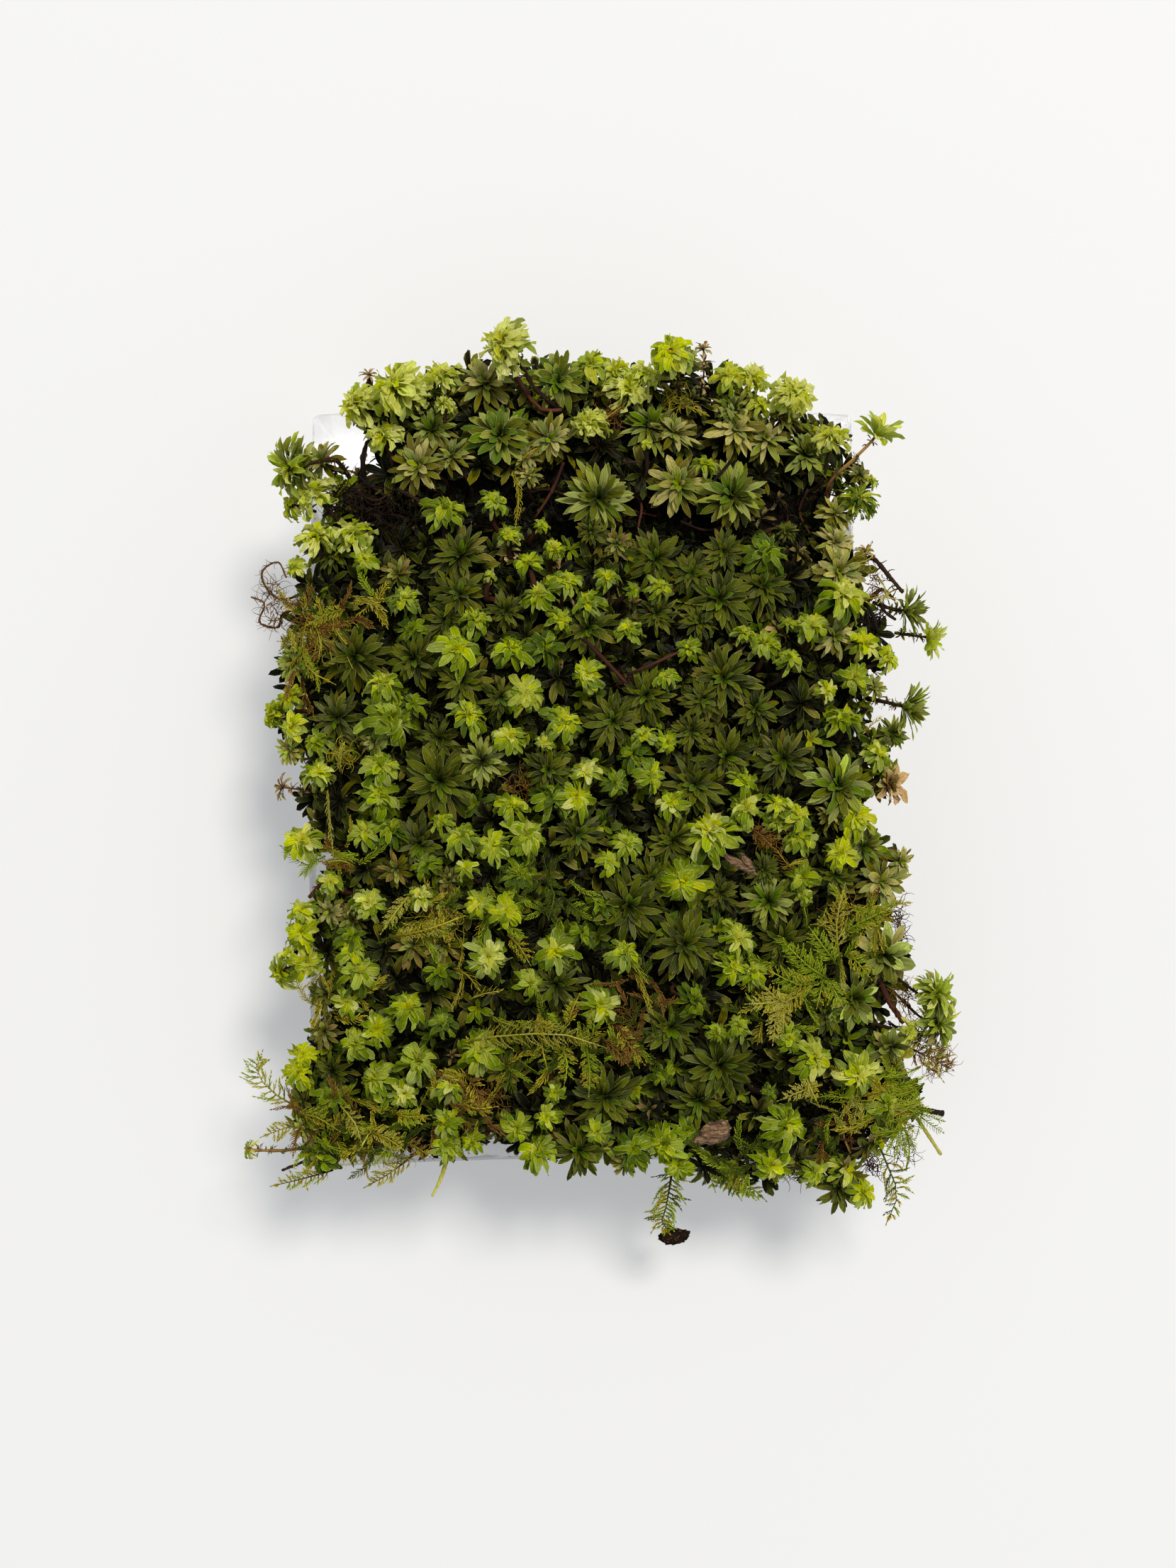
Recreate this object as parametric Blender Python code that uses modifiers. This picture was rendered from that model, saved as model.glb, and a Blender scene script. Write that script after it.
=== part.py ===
# A living clump of rose moss and fern moss in a shallow clear tray.
# Metres, Z up. The tray's underside is on z = 0, centred on the origin, and +Y is the tray's back.
import math
import random

import bmesh
import bpy
from mathutils import Matrix, Vector, noise

# Clear tray: thin plastic, open on top, with straight base edges and walls that bow at the rim
tray_width = 0.1180
tray_length = 0.1650
tray_height = 0.0360
tray_wall = 0.00045
tray_corner = 0.0011
side_bow = 0.0008
back_bow = 0.0012
front_bow = -0.0020
rim_gap = 0.0004

# Root mat of soil, rhizoids and old stems on the tray's floor
mat_bottom = 0.0009
mat_top = 0.0205
mat_lumps = 0.0022

# Cushion of living moss: a low dome that spreads over the rim
dome_crest = 0.0535
dome_rim = 0.0384
overhang_under = 0.0366
cushion_lumps = 0.0012
seam = 0.0004

# Crowns of leaves
leaf_cup = 0.16
notch = 0.60
crown_spread = 1.12
crown_crowding = 0.78

# How the photograph reads: straight down, millimetres a pixel at the rim, and the eye above it
read_scale = 0.0001554
read_centre_x = 829.5
read_centre_y = 1106.0
eye_x = 0.0013
eye_y = 0.0016
eye_z = 0.480

leaf_dark = (0.088, 0.118, 0.018)
leaf_bright = (0.300, 0.365, 0.040)
leaf_pale = (0.420, 0.460, 0.110)
leaf_olive = (0.160, 0.160, 0.035)
leaf_tan = (0.360, 0.230, 0.095)
stem_brown = (0.050, 0.026, 0.014)
fern_gold = (0.230, 0.215, 0.040)
soil_brown = (0.022, 0.014, 0.009)
bark_brown = (0.175, 0.085, 0.040)

# Crowns of the rose moss: how far across and down the photograph, how wide there, and the leaf's age
crowns = [
    (684, 534, 86, "olive"), (620, 527, 54, "bright"), (580, 562, 46, "bright"),
    (540, 610, 54, "bright"), (787, 533, 76, "dark"), (833, 512, 54, "bright"),
    (888, 547, 60, "pale"), (912, 526, 46, "bright"), (1030, 527, 50, "bright"),
    (1062, 532, 56, "bright"), (1036, 574, 58, "dark"), (1108, 585, 52, "olive"),
    (1173, 612, 54, "bright"), (705, 608, 92, "dark"), (608, 603, 62, "dark"),
    (587, 655, 78, "olive"), (634, 640, 60, "olive"), (830, 592, 54, "bright"),
    (777, 617, 66, "olive"), (922, 597, 80, "dark"), (952, 605, 66, "olive"),
    (1040, 602, 76, "olive"), (1083, 615, 72, "olive"), (1140, 638, 70, "dark"),
    (437, 698, 50, "bright"), (445, 752, 46, "bright"), (496, 750, 54, "bright"),
    (470, 779, 50, "dark"), (630, 715, 62, "bright"), (697, 704, 44, "bright"),
    (646, 780, 80, "dark"), (845, 702, 92, "dark"), (957, 682, 86, "olive"),
    (1036, 695, 92, "dark"), (1180, 722, 46, "olive"), (1180, 762, 52, "olive"),
    (1083, 777, 66, "bright"), (745, 791, 38, "bright"), (870, 766, 46, "olive"),
    (927, 789, 76, "dark"), (1022, 777, 56, "dark"), (560, 806, 50, "olive"),
    (648, 836, 76, "dark"), (570, 842, 48, "bright"), (671, 871, 48, "bright"),
    (647, 912, 72, "bright"), (722, 912, 62, "bright"), (770, 912, 56, "bright"),
    (760, 835, 50, "pale"), (830, 847, 48, "bright"), (828, 886, 76, "dark"),
    (887, 884, 40, "pale"), (927, 866, 52, "dark"), (1017, 842, 90, "dark"),
    (1081, 825, 74, "dark"), (1190, 837, 62, "bright"), (1186, 806, 76, "olive"),
    (1145, 880, 52, "bright"), (1080, 905, 50, "bright"), (1115, 926, 42, "bright"),
    (827, 950, 52, "bright"), (742, 977, 56, "bright"), (797, 1015, 58, "bright"),
    (718, 1036, 52, "pale"), (497, 928, 94, "dark"), (582, 930, 76, "dark"),
    (472, 1012, 74, "dark"), (540, 962, 50, "bright"), (556, 1012, 84, "bright"),
    (663, 1006, 56, "bright"), (407, 982, 42, "bright"), (410, 1024, 46, "bright"),
    (446, 1043, 46, "bright"), (405, 1058, 44, "olive"), (448, 1088, 48, "pale"),
    (539, 1078, 58, "bright"), (537, 1120, 60, "bright"), (621, 1103, 100, "dark"),
    (679, 1072, 62, "dark"), (412, 935, 46, "dark"), (652, 960, 70, "dark"),
    (617, 1042, 58, "dark"), (707, 985, 56, "dark"), (910, 980, 76, "dark"),
    (865, 1017, 74, "dark"), (920, 1093, 50, "bright"), (982, 1106, 88, "dark"),
    (817, 1125, 62, "pale"), (945, 1131, 48, "pale"), (1020, 955, 88, "dark"),
    (1025, 1068, 74, "dark"), (977, 1032, 58, "dark"), (1205, 955, 48, "bright"),
    (1192, 1010, 56, "bright"), (1180, 897, 56, "olive"), (1220, 905, 48, "pale"),
    (1255, 926, 42, "bright"), (1241, 1061, 46, "pale"), (1187, 1106, 92, "dark"),
    (1105, 1072, 78, "dark"), (1132, 990, 68, "olive"), (1070, 1000, 68, "dark"),
    (782, 1122, 58, "bright"), (773, 1086, 60, "dark"), (425, 1184, 56, "pale"),
    (515, 1172, 46, "pale"), (590, 1190, 76, "dark"), (650, 1178, 56, "bright"),
    (520, 1272, 52, "pale"), (627, 1272, 48, "olive"), (817, 1176, 66, "dark"),
    (950, 1187, 70, "dark"), (1003, 1171, 84, "pale"), (966, 1243, 66, "bright"),
    (885, 1188, 50, "bright"), (890, 1280, 96, "dark"), (967, 1331, 90, "dark"),
    (882, 1340, 52, "bright"), (782, 1340, 64, "pale"), (690, 1350, 62, "pale"),
    (715, 1284, 52, "bright"), (783, 1391, 74, "dark"), (850, 1417, 62, "pale"),
    (982, 1412, 52, "bright"), (948, 1450, 76, "dark"), (1042, 1446, 38, "bright"),
    (1036, 1362, 56, "bright"), (1042, 1322, 54, "pale"), (732, 1231, 56, "bright"),
    (745, 1176, 64, "bright"), (695, 1192, 52, "bright"), (1052, 1138, 56, "pale"),
    (1126, 1150, 52, "bright"), (1208, 1150, 58, "bright"), (1185, 1201, 52, "bright"),
    (1220, 1194, 54, "dark"), (1245, 1243, 76, "olive"), (1180, 1236, 60, "dark"),
    (1132, 1236, 50, "bright"), (1085, 1271, 70, "dark"), (1105, 1328, 74, "dark"),
    (1250, 1352, 86, "olive"), (1207, 1410, 76, "dark"), (1170, 1431, 60, "dark"),
    (424, 1315, 50, "bright"), (462, 1286, 46, "olive"), (494, 1298, 50, "olive"),
    (432, 1358, 54, "bright"), (508, 1368, 60, "bright"), (490, 1414, 46, "pale"),
    (456, 1403, 60, "olive"), (576, 1419, 58, "bright"), (582, 1332, 58, "olive"),
    (622, 1334, 60, "olive"), (427, 1487, 40, "bright"), (420, 1512, 46, "bright"),
    (500, 1470, 56, "bright"), (532, 1452, 50, "pale"), (527, 1520, 56, "bright"),
    (590, 1495, 62, "bright"), (677, 1480, 66, "bright"), (570, 1543, 46, "pale"),
    (630, 1582, 46, "bright"), (632, 1615, 48, "bright"), (470, 1545, 54, "bright"),
    (485, 1612, 62, "dark"), (452, 1636, 50, "bright"), (730, 1590, 50, "bright"),
    (757, 1622, 60, "bright"), (817, 1624, 76, "dark"), (842, 1597, 42, "bright"),
    (855, 1552, 90, "dark"), (892, 1620, 58, "bright"), (937, 1615, 60, "bright"),
    (957, 1645, 48, "bright"), (1017, 1505, 102, "dark"), (987, 1556, 84, "dark"),
    (1115, 1465, 44, "bright"), (1152, 1491, 60, "bright"), (1212, 1516, 70, "bright"),
    (1260, 1481, 58, "olive"), (1112, 1588, 74, "bright"), (1255, 1558, 50, "bright"),
    (1090, 1648, 64, "pale"), (1187, 1675, 72, "dark"), (1196, 1648, 50, "pale"),
    (1222, 1682, 44, "bright"),
]

# Outline of the leafy mass in the photograph, clockwise from the back left
mass_outline = [
    (505, 672), (548, 640), (532, 596), (500, 588), (505, 548), (560, 528),
    (640, 522), (700, 520), (770, 515), (850, 508), (930, 515), (1000, 540),
    (1070, 540), (1110, 585), (1180, 600), (1196, 650), (1190, 720), (1196, 790),
    (1228, 850), (1262, 905), (1226, 970), (1240, 1040), (1252, 1100), (1220, 1160),
    (1238, 1220), (1256, 1270), (1262, 1320), (1270, 1370), (1240, 1430), (1284, 1490),
    (1296, 1550), (1272, 1600), (1226, 1640), (1196, 1678), (1120, 1656), (1060, 1672),
    (990, 1650), (900, 1632), (820, 1636), (760, 1636), (690, 1618), (620, 1636),
    (540, 1632), (470, 1640), (428, 1604), (408, 1550), (424, 1480), (458, 1430),
    (450, 1370), (424, 1310), (452, 1250), (452, 1200), (430, 1130), (412, 1060),
    (408, 980), (416, 900), (432, 850), (440, 780), (438, 730), (458, 700),
]

# Outline of the root mat between the walls: the back left corner has broken away
mat_outline = [
    (-0.0568, 0.0560), (-0.0545, 0.0660), (-0.0500, 0.0720), (-0.0420, 0.0748),
    (-0.0250, 0.0780), (0.0, 0.0792), (0.0260, 0.0786), (0.0440, 0.0768),
    (0.0530, 0.0730), (0.0560, 0.0640), (0.0566, 0.0300), (0.0570, 0.0),
    (0.0566, -0.0400), (0.0562, -0.0740), (0.0520, -0.0792), (0.0240, -0.0786),
    (0.0, -0.0780), (-0.0260, -0.0784), (-0.0520, -0.0792), (-0.0560, -0.0740),
    (-0.0552, -0.0400), (-0.0545, -0.0150), (-0.0560, 0.0150), (-0.0566, 0.0400),
]

# Dark hollows between the crowns: across, down, half widths and depth
hollows = [
    (655, 716, 0.0150, 0.0052, 0.016), (770, 704, 0.0125, 0.0080, 0.019),
    (905, 716, 0.0090, 0.0075, 0.019), (990, 738, 0.0100, 0.0055, 0.016),
    (1120, 722, 0.0085, 0.0085, 0.020), (1082, 962, 0.0070, 0.0110, 0.018),
    (698, 1566, 0.0080, 0.0090, 0.018), (1146, 1540, 0.0110, 0.0095, 0.017),
    (545, 722, 0.0110, 0.0070, 0.012),
]


def reach(across, down, height):
    """Point of the object that the photograph shows there, at a known height."""
    step = read_scale * (eye_z - height) / (eye_z - tray_height)
    return Vector(
        (
            eye_x + (across - read_centre_x) * step,
            eye_y - (down - read_centre_y) * step,
            height,
        )
    )


def dome(x, y):
    """Height of the cushion's top."""
    spread = (abs(x / 0.081) ** 2.6 + abs(y / 0.101) ** 2.6) ** (1 / 2.6)
    height = dome_rim + (dome_crest - dome_rim) * (1 - min(spread, 1) ** 2.1)
    lumps = noise.noise(Vector((x * 60, y * 60, 0.7)))
    return max(height + cushion_lumps * lumps, dome_rim)


def floor_of_moss(x, y):
    """Height of the root mat's top."""
    edge = max(abs(x) / 0.057, abs(y) / 0.080)
    fall = 0.0035 * max(0, edge - 0.7) / 0.3
    return mat_top - fall + mat_lumps * noise.noise(Vector((x * 75, y * 75, 3.1)))


def slope(x, y):
    step = 0.002
    dx = dome(x + step, y) - dome(x - step, y)
    dy = dome(x, y + step) - dome(x, y - step)
    return Vector((-dx / (2 * step), -dy / (2 * step), 1)).normalized()


def clear_scene():
    for item in list(bpy.data.objects):
        bpy.data.objects.remove(item, do_unlink=True)
    for group in list(bpy.data.collections):
        bpy.data.collections.remove(group)


def collection(name):
    group = bpy.data.collections.new(name)
    bpy.context.scene.collection.children.link(group)
    return group


def paint(name, colour, roughness):
    material = bpy.data.materials.new(name)
    material.use_nodes = True
    shader = material.node_tree.nodes["Principled BSDF"]
    shader.inputs["Base Color"].default_value = (*colour, 1)
    shader.inputs["Roughness"].default_value = roughness
    shader.inputs["Metallic"].default_value = 0
    return material


def make_object(name, bm, group, material=None):
    mesh = bpy.data.meshes.new(name)
    bmesh.ops.recalc_face_normals(bm, faces=bm.faces)
    bm.to_mesh(mesh)
    bm.free()
    item = bpy.data.objects.new(name, mesh)
    group.objects.link(item)
    if material:
        mesh.materials.append(material)
    return item


def freeze(item):
    """The object with its modifiers applied."""
    bpy.context.view_layer.update()
    graph = bpy.context.evaluated_depsgraph_get()
    mesh = bpy.data.meshes.new_from_object(item.evaluated_get(graph))
    item.modifiers.clear()
    item.data = mesh


def combine(item, operation, others, solver="EXACT"):
    """Join the others to the object, or cut it by them, all at once."""
    group = collection("operands")
    for other in others:
        group.objects.link(other)
    change = item.modifiers.new(operation.lower(), "BOOLEAN")
    change.operation = operation
    change.solver = solver
    change.operand_type = "COLLECTION"
    change.collection = group
    freeze(item)
    for other in others:
        bpy.data.objects.remove(other, do_unlink=True)
    bpy.data.collections.remove(group)


def keep_largest(item):
    """Drop crumbs that a cut has parted from the piece."""
    bm = bmesh.new()
    bm.from_mesh(item.data)
    unseen = set(bm.verts)
    islands = []
    while unseen:
        island = set()
        front = [unseen.pop()]
        while front:
            vertex = front.pop()
            island.add(vertex)
            for edge in vertex.link_edges:
                other = edge.other_vert(vertex)
                if other in unseen:
                    unseen.remove(other)
                    front.append(other)
        islands.append(island)
    islands.sort(key=len, reverse=True)
    for island in islands[1:]:
        bmesh.ops.delete(bm, geom=list(island), context="VERTS")
    bm.to_mesh(item.data)
    bm.free()


def to_outline(outline, u, v):
    """A point of the unit square carried to the same place in an outline round the origin."""
    inward = max(abs(u), abs(v))
    if inward == 0:
        return 0.0, 0.0
    corner = outline_box(outline)
    bearing = math.atan2(v * corner[1], u * corner[0])
    best = None
    for first, last in zip(outline, outline[1:] + outline[:1]):
        side = Vector((last[0] - first[0], last[1] - first[1]))
        ray = Vector((math.cos(bearing), math.sin(bearing)))
        cross = ray.x * side.y - ray.y * side.x
        if abs(cross) < 1e-12:
            continue
        along = (first[0] * side.y - first[1] * side.x) / cross
        part = (first[0] * ray.y - first[1] * ray.x) / cross
        if along > 0 and -1e-9 <= part <= 1 + 1e-9 and (best is None or along > best):
            best = along
    return inward * best * math.cos(bearing), inward * best * math.sin(bearing)


def outline_box(outline):
    return max(abs(p[0]) for p in outline), max(abs(p[1]) for p in outline)


def sheet(outline, across, along):
    """A grid of faces that fills an outline."""
    bm = bmesh.new()
    bmesh.ops.create_grid(bm, x_segments=across, y_segments=along, size=1)
    for vertex in bm.verts:
        x, y = to_outline(outline, vertex.co.x, vertex.co.y)
        vertex.co = Vector((x, y, 0))
    return bm


def block_between(name, outline, across, along, top, bottom, group, material=None):
    """A solid between two height functions over an outline."""
    bm = sheet(outline, across, along)
    for vertex in bm.verts:
        vertex.co.z = top(vertex.co.x, vertex.co.y)
    lower = bmesh.ops.extrude_face_region(bm, geom=bm.faces[:], use_keep_orig=True)
    for vertex in lower["geom"]:
        if isinstance(vertex, bmesh.types.BMVert):
            vertex.co.z = bottom(vertex.co.x, vertex.co.y)
    return make_object(name, bm, group, material)


def aim_matrix(place, aim, turn):
    return (
        Matrix.Translation(place)
        @ aim.to_track_quat("Z", "Y").to_matrix().to_4x4()
        @ Matrix.Rotation(turn, 4, "Z")
    )


def crown(place, aim, radius, depth, points, turn, grow=0.0, seed=0):
    """One rosette: a shallow cup with a leaf at each point, narrowing to its stem."""
    chance = random.Random(seed)
    bm = bmesh.new()
    depth = depth + 2 * grow
    bmesh.ops.create_cone(
        bm,
        cap_ends=True,
        segments=points * 2,
        radius1=0,
        radius2=radius + 2.2 * grow,
        depth=depth,
    )
    bmesh.ops.translate(bm, vec=(0, 0, -depth / 2 + grow), verts=bm.verts)
    ring = [v for v in bm.verts if v.co.z > -depth / 4]
    ring.sort(key=lambda v: math.atan2(v.co.y, v.co.x))
    for index, vertex in enumerate(ring):
        stretch = 1 + chance.uniform(-0.10, 0.06)
        lift = chance.uniform(-0.02, 0.08)
        if index % 2:
            vertex.co.x *= notch
            vertex.co.y *= notch
        else:
            vertex.co.x *= stretch
            vertex.co.y *= stretch
            vertex.co.z += lift * radius
    lids = [f for f in bm.faces if f.normal.z > 0.5 and len(f.verts) > 4]
    middle = bmesh.ops.poke(bm, faces=lids)
    if not grow:
        for vertex in middle["verts"]:
            vertex.co.z -= leaf_cup * radius
    bmesh.ops.transform(bm, matrix=aim_matrix(place, aim, turn), verts=bm.verts)
    return bm


def tube(points, radius, sides=1):
    """A bent stem as a mesh, from a curve with round caps."""
    curve = bpy.data.curves.new("stem", "CURVE")
    curve.dimensions = "3D"
    curve.bevel_depth = radius
    curve.bevel_resolution = sides
    curve.use_fill_caps = True
    line = curve.splines.new("POLY")
    line.points.add(len(points) - 1)
    for target, point in zip(line.points, points):
        target.co = (*point, 1)
    item = bpy.data.objects.new("stem", curve)
    bpy.context.scene.collection.objects.link(item)
    bpy.context.view_layer.update()
    graph = bpy.context.evaluated_depsgraph_get()
    mesh = bpy.data.meshes.new_from_object(item.evaluated_get(graph))
    bm = bmesh.new()
    bm.from_mesh(mesh)
    bmesh.ops.remove_doubles(bm, verts=bm.verts, dist=0.00001)
    bpy.data.objects.remove(item, do_unlink=True)
    bpy.data.meshes.remove(mesh)
    return bm


def smooth_path(points, parts):
    """A curve through the given points."""
    ends = [2 * points[0] - points[1]] + points + [2 * points[-1] - points[-2]]
    path = []
    for index in range(1, len(ends) - 2):
        a, b, c, d = ends[index - 1 : index + 3]
        for part in range(parts):
            t = part / parts
            path.append(
                0.5
                * (
                    2 * b
                    + (c - a) * t
                    + (2 * a - 5 * b + 4 * c - d) * t**2
                    + (3 * b - a - 3 * c + d) * t**3
                )
            )
    path.append(points[-1])
    return path


clear_scene()
parts = collection("moss_clump")
cutters = collection("cutters")
print("tray")

plastic = paint("clear_plastic", (0.90, 0.92, 0.95), 0.06)
soil = paint("soil_and_rhizoids", soil_brown, 0.95)
moss = paint("moss_leaves", leaf_dark, 0.55)
tints = {
    "dark": paint("leaf_dark", leaf_dark, 0.50),
    "bright": paint("leaf_bright", leaf_bright, 0.45),
    "pale": paint("leaf_pale", leaf_pale, 0.45),
    "olive": paint("leaf_olive", leaf_olive, 0.50),
    "tan": paint("leaf_dried", leaf_tan, 0.80),
}
stem_paint = paint("stem_brown", stem_brown, 0.70)
fern_paint = paint("fern_moss", fern_gold, 0.60)
bark_paint = paint("bark", bark_brown, 0.85)


def bow(x, y, height):
    """How far the rim leans out of a straight tray at this height."""
    part = height / tray_height
    along_x = min(abs(x) / (tray_width / 2), 1)
    along_y = min(abs(y) / (tray_length / 2), 1)
    out_x = out_y = 0.0
    if along_x > 0.999:
        out_x = math.copysign(side_bow * (1 - along_y**2) * part, x)
    if along_y > 0.999:
        if y > 0:
            out_y = back_bow * (1 - along_x**8) * part
        else:
            out_y = -front_bow * (1 - along_x**2) * part
    return out_x, out_y


def tray_cage(extra, low, high):
    """The tray's outer block, larger by extra all round."""
    bm = bmesh.new()
    bmesh.ops.create_cube(bm, size=1)
    level = [e for e in bm.edges if abs(e.verts[0].co.z - e.verts[1].co.z) < 0.1]
    bmesh.ops.subdivide_edges(bm, edges=level, cuts=5, use_grid_fill=True)
    for vertex in bm.verts:
        x = vertex.co.x * tray_width
        y = vertex.co.y * tray_length
        height = low if vertex.co.z < 0 else high
        out_x, out_y = bow(x, y, max(height, 0))
        side_x = math.copysign(extra, x) if abs(x) > tray_width * 0.499 else 0
        side_y = math.copysign(extra, y) if abs(y) > tray_length * 0.499 else 0
        vertex.co = Vector((x + out_x + side_x, y + out_y + side_y, height))
    return bm


cage = tray_cage(0, 0, tray_height)
lid = [f for f in cage.faces if all(v.co.z > tray_height * 0.9 for v in f.verts)]
bmesh.ops.delete(cage, geom=lid, context="FACES")
base = [f for f in cage.faces if all(v.co.z < 0.0001 for v in f.verts)]
bmesh.ops.dissolve_faces(cage, faces=base)
upright = [e for e in cage.edges if abs(e.verts[0].co.z - e.verts[1].co.z) > 0.01]
corners = [
    e
    for e in upright
    if abs(e.verts[0].co.x) > tray_width * 0.49 and abs(e.verts[0].co.y) > tray_length * 0.49
]
bmesh.ops.bevel(
    cage, geom=corners, offset=tray_corner, segments=3, affect="EDGES", profile=0.5
)
tray = make_object("tray", cage, parts, plastic)
wall = tray.modifiers.new("wall", "SOLIDIFY")
wall.thickness = tray_wall
wall.offset = -1
wall.use_even_offset = True

print("root mat")
root_mat = block_between(
    "root_mat",
    mat_outline,
    8,
    11,
    floor_of_moss,
    lambda x, y: mat_bottom,
    parts,
    soil,
)

print("cushion")
outline = []
for across, down in mass_outline:
    spot = reach(across, down, 0.042)
    outline.append((spot.x, spot.y))

cushion = block_between(
    "moss_cushion",
    outline,
    8,
    10,
    dome,
    lambda x, y: overhang_under,
    parts,
    moss,
)
plug = block_between(
    "plug",
    mat_outline,
    8,
    11,
    lambda x, y: 0.0395,
    lambda x, y: floor_of_moss(x, y) + seam,
    cutters,
)
combine(cushion, "UNION", [plug])

wells = []
for across, down, half_x, half_y, depth in hollows:
    bm = bmesh.new()
    bmesh.ops.create_uvsphere(bm, u_segments=9, v_segments=6, radius=1)
    spot = reach(across, down, 0.048)
    top = dome(spot.x, spot.y)
    for vertex in bm.verts:
        ripple = 1 + 0.18 * noise.noise(vertex.co * 1.7 + Vector((spot.x * 90, spot.y * 90, 0)))
        vertex.co = Vector(
            (
                spot.x + vertex.co.x * half_x * ripple,
                spot.y + vertex.co.y * half_y * ripple,
                top + 0.001 + vertex.co.z * depth,
            )
        )
    wells.append(make_object("well", bm, cutters))
combine(cushion, "DIFFERENCE", wells)

print("crowns")
stars = []
standing = []
for across, down, wide, age in sorted(crowns, key=lambda one: -one[2]):
    radius = wide / 2 * read_scale * 0.965
    first = reach(across, down, 0.050)
    spot = reach(across, down, dome(first.x, first.y) + 0.002)
    if any((spot - s).xy.length < crown_crowding * (radius + r) for s, r in standing):
        continue
    standing.append((spot, radius))
    aim = (slope(spot.x, spot.y) + Vector((0, 0, 0.6))).normalized()
    count = 7 if wide > 90 else 6 if wide > 60 else 5
    seed = across * 2000 + down
    turn = random.Random(seed).uniform(0, 6.283)
    lift = 0.0022 if age in ("dark", "olive") else 0.0034
    place = Vector((spot.x, spot.y, dome(spot.x, spot.y))) + aim * lift
    bm = crown(place, aim, radius * crown_spread, radius * 0.85, count, turn, seed=seed)
    stars.append(make_object("crown", bm, cutters))
print(len(stars), "crowns")
combine(cushion, "UNION", stars, "MANIFOLD")

# Shoots that stand clear of the mass, each from its foot in the cushion through its bends
# to the middle of its crown: across, down and height, then the crown's width and the leaf's age
shoots = [
    ("shoot_back_fan", [(792, 580, 0.043), (752, 545, 0.047), (727, 497, 0.0515), (703, 484, 0.0535)], 70, "bright", 0.0009),
    ("shoot_back_left_tuft", [(598, 585, 0.043), (575, 562, 0.047), (553, 540, 0.0500)], 76, "bright", 0.0008),
    ("shoot_back_left_tip", [(560, 592, 0.042), (522, 577, 0.044), (497, 566, 0.0450)], 58, "bright", 0.0007),
    ("shoot_back_mid_tall", [(958, 560, 0.043), (955, 525, 0.049), (946, 492, 0.0540)], 62, "bright", 0.0008),
    ("shoot_back_curled", [(988, 560, 0.043), (993, 525, 0.049), (992, 490, 0.0530)], 30, "tan", 0.0005),
    ("shoot_back_right_fan", [(1098, 600, 0.042), (1112, 566, 0.046), (1121, 548, 0.0480)], 60, "bright", 0.0007),
    ("shoot_right_back_fan", [(1166, 712, 0.041), (1170, 680, 0.045), (1200, 652, 0.0475), (1232, 620, 0.0500), (1240, 606, 0.0505)], 54, "bright", 0.0007),
    ("shoot_right_brush", [(1184, 745, 0.041), (1202, 722, 0.043), (1213, 699, 0.0445)], 56, "bright", 0.0007),
    ("shoot_left_back_dark", [(499, 684, 0.0385), (475, 650, 0.0440), (440, 653, 0.0455), (398, 661, 0.0450)], 72, "dark", 0.0009),
    ("shoot_left_bud", [(446, 722, 0.0395), (426, 716, 0.0410), (405, 712, 0.0410)], 30, "bright", 0.0006),
    ("shoot_left_star", [(440, 1018, 0.0395), (405, 1010, 0.0415), (378, 1007, 0.0420)], 44, "bright", 0.0006),
    ("shoot_left_dried", [(470, 1112, 0.0395), (430, 1114, 0.0415), (394, 1110, 0.0420)], 36, "tan", 0.0005),
    ("shoot_left_front_star", [(440, 1352, 0.0395), (410, 1366, 0.0415), (390, 1376, 0.0420)], 52, "pale", 0.0006),
    ("shoot_front_left_long", [(460, 1612, 0.0390), (410, 1622, 0.0400), (372, 1623, 0.0405), (347, 1622, 0.0400)], 32, "bright", 0.0009),
    ("shoot_right_dark", [(1232, 850, 0.0395), (1262, 860, 0.0430), (1286, 862, 0.0440)], 60, "dark", 0.0008),
    ("shoot_right_pale", [(1262, 893, 0.0395), (1292, 897, 0.0415), (1316, 900, 0.0420)], 52, "pale", 0.0006),
    ("shoot_right_mid_dark", [(1222, 985, 0.0395), (1256, 992, 0.0425), (1286, 1000, 0.0430)], 74, "dark", 0.0009),
    ("shoot_right_dried_star", [(1226, 1112, 0.0395), (1246, 1108, 0.0415), (1262, 1107, 0.0425)], 62, "tan", 0.0007),
    ("shoot_right_front_upper", [(1262, 1376, 0.0395), (1300, 1404, 0.0430), (1329, 1399, 0.0440)], 52, "olive", 0.0008),
    ("shoot_right_front_lower", [(1258, 1396, 0.0390), (1300, 1436, 0.0400), (1332, 1445, 0.0405)], 58, "olive", 0.0007),
]

print("shoots")
clearances = []


def add_shoot(name, stops, wide, age, thick):
    spots = [reach(*stop) for stop in stops]
    path = smooth_path(spots, 2)
    aim = (path[-1] - path[-3]).normalized()
    aim = (aim + Vector((0, 0, 1.0 if age != "dark" else 0.7))).normalized()
    radius = wide / 2 * read_scale * 0.97
    chance = random.Random(name)
    turn = chance.uniform(0, 6.283)
    depth = radius * (0.95 if wide < 60 else 0.8)
    points = 5 if wide < 40 else 6
    head = make_object("head", crown(spots[-1], aim, radius, depth, points, turn, seed=7), cutters)
    stem = make_object(name, tube(path[:-1] + [spots[-1] - aim * depth * 0.3], thick), parts, tints[age])
    combine(stem, "UNION", [head])
    keep_largest(stem)
    wide_head = crown(spots[-1], aim, radius, depth, points, turn, grow=seam, seed=7)
    clearances.append(make_object("head_room", wide_head, cutters))
    back = (path[0] - path[1]).normalized() * seam
    wide_stem = tube([path[0] + back] + path[1:-1] + [spots[-1]], thick + seam)
    clearances.append(make_object("stem_room", wide_stem, cutters))
    return stem


for name, stops, wide, age, thick in shoots:
    add_shoot(name, stops, wide, age, thick)

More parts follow.
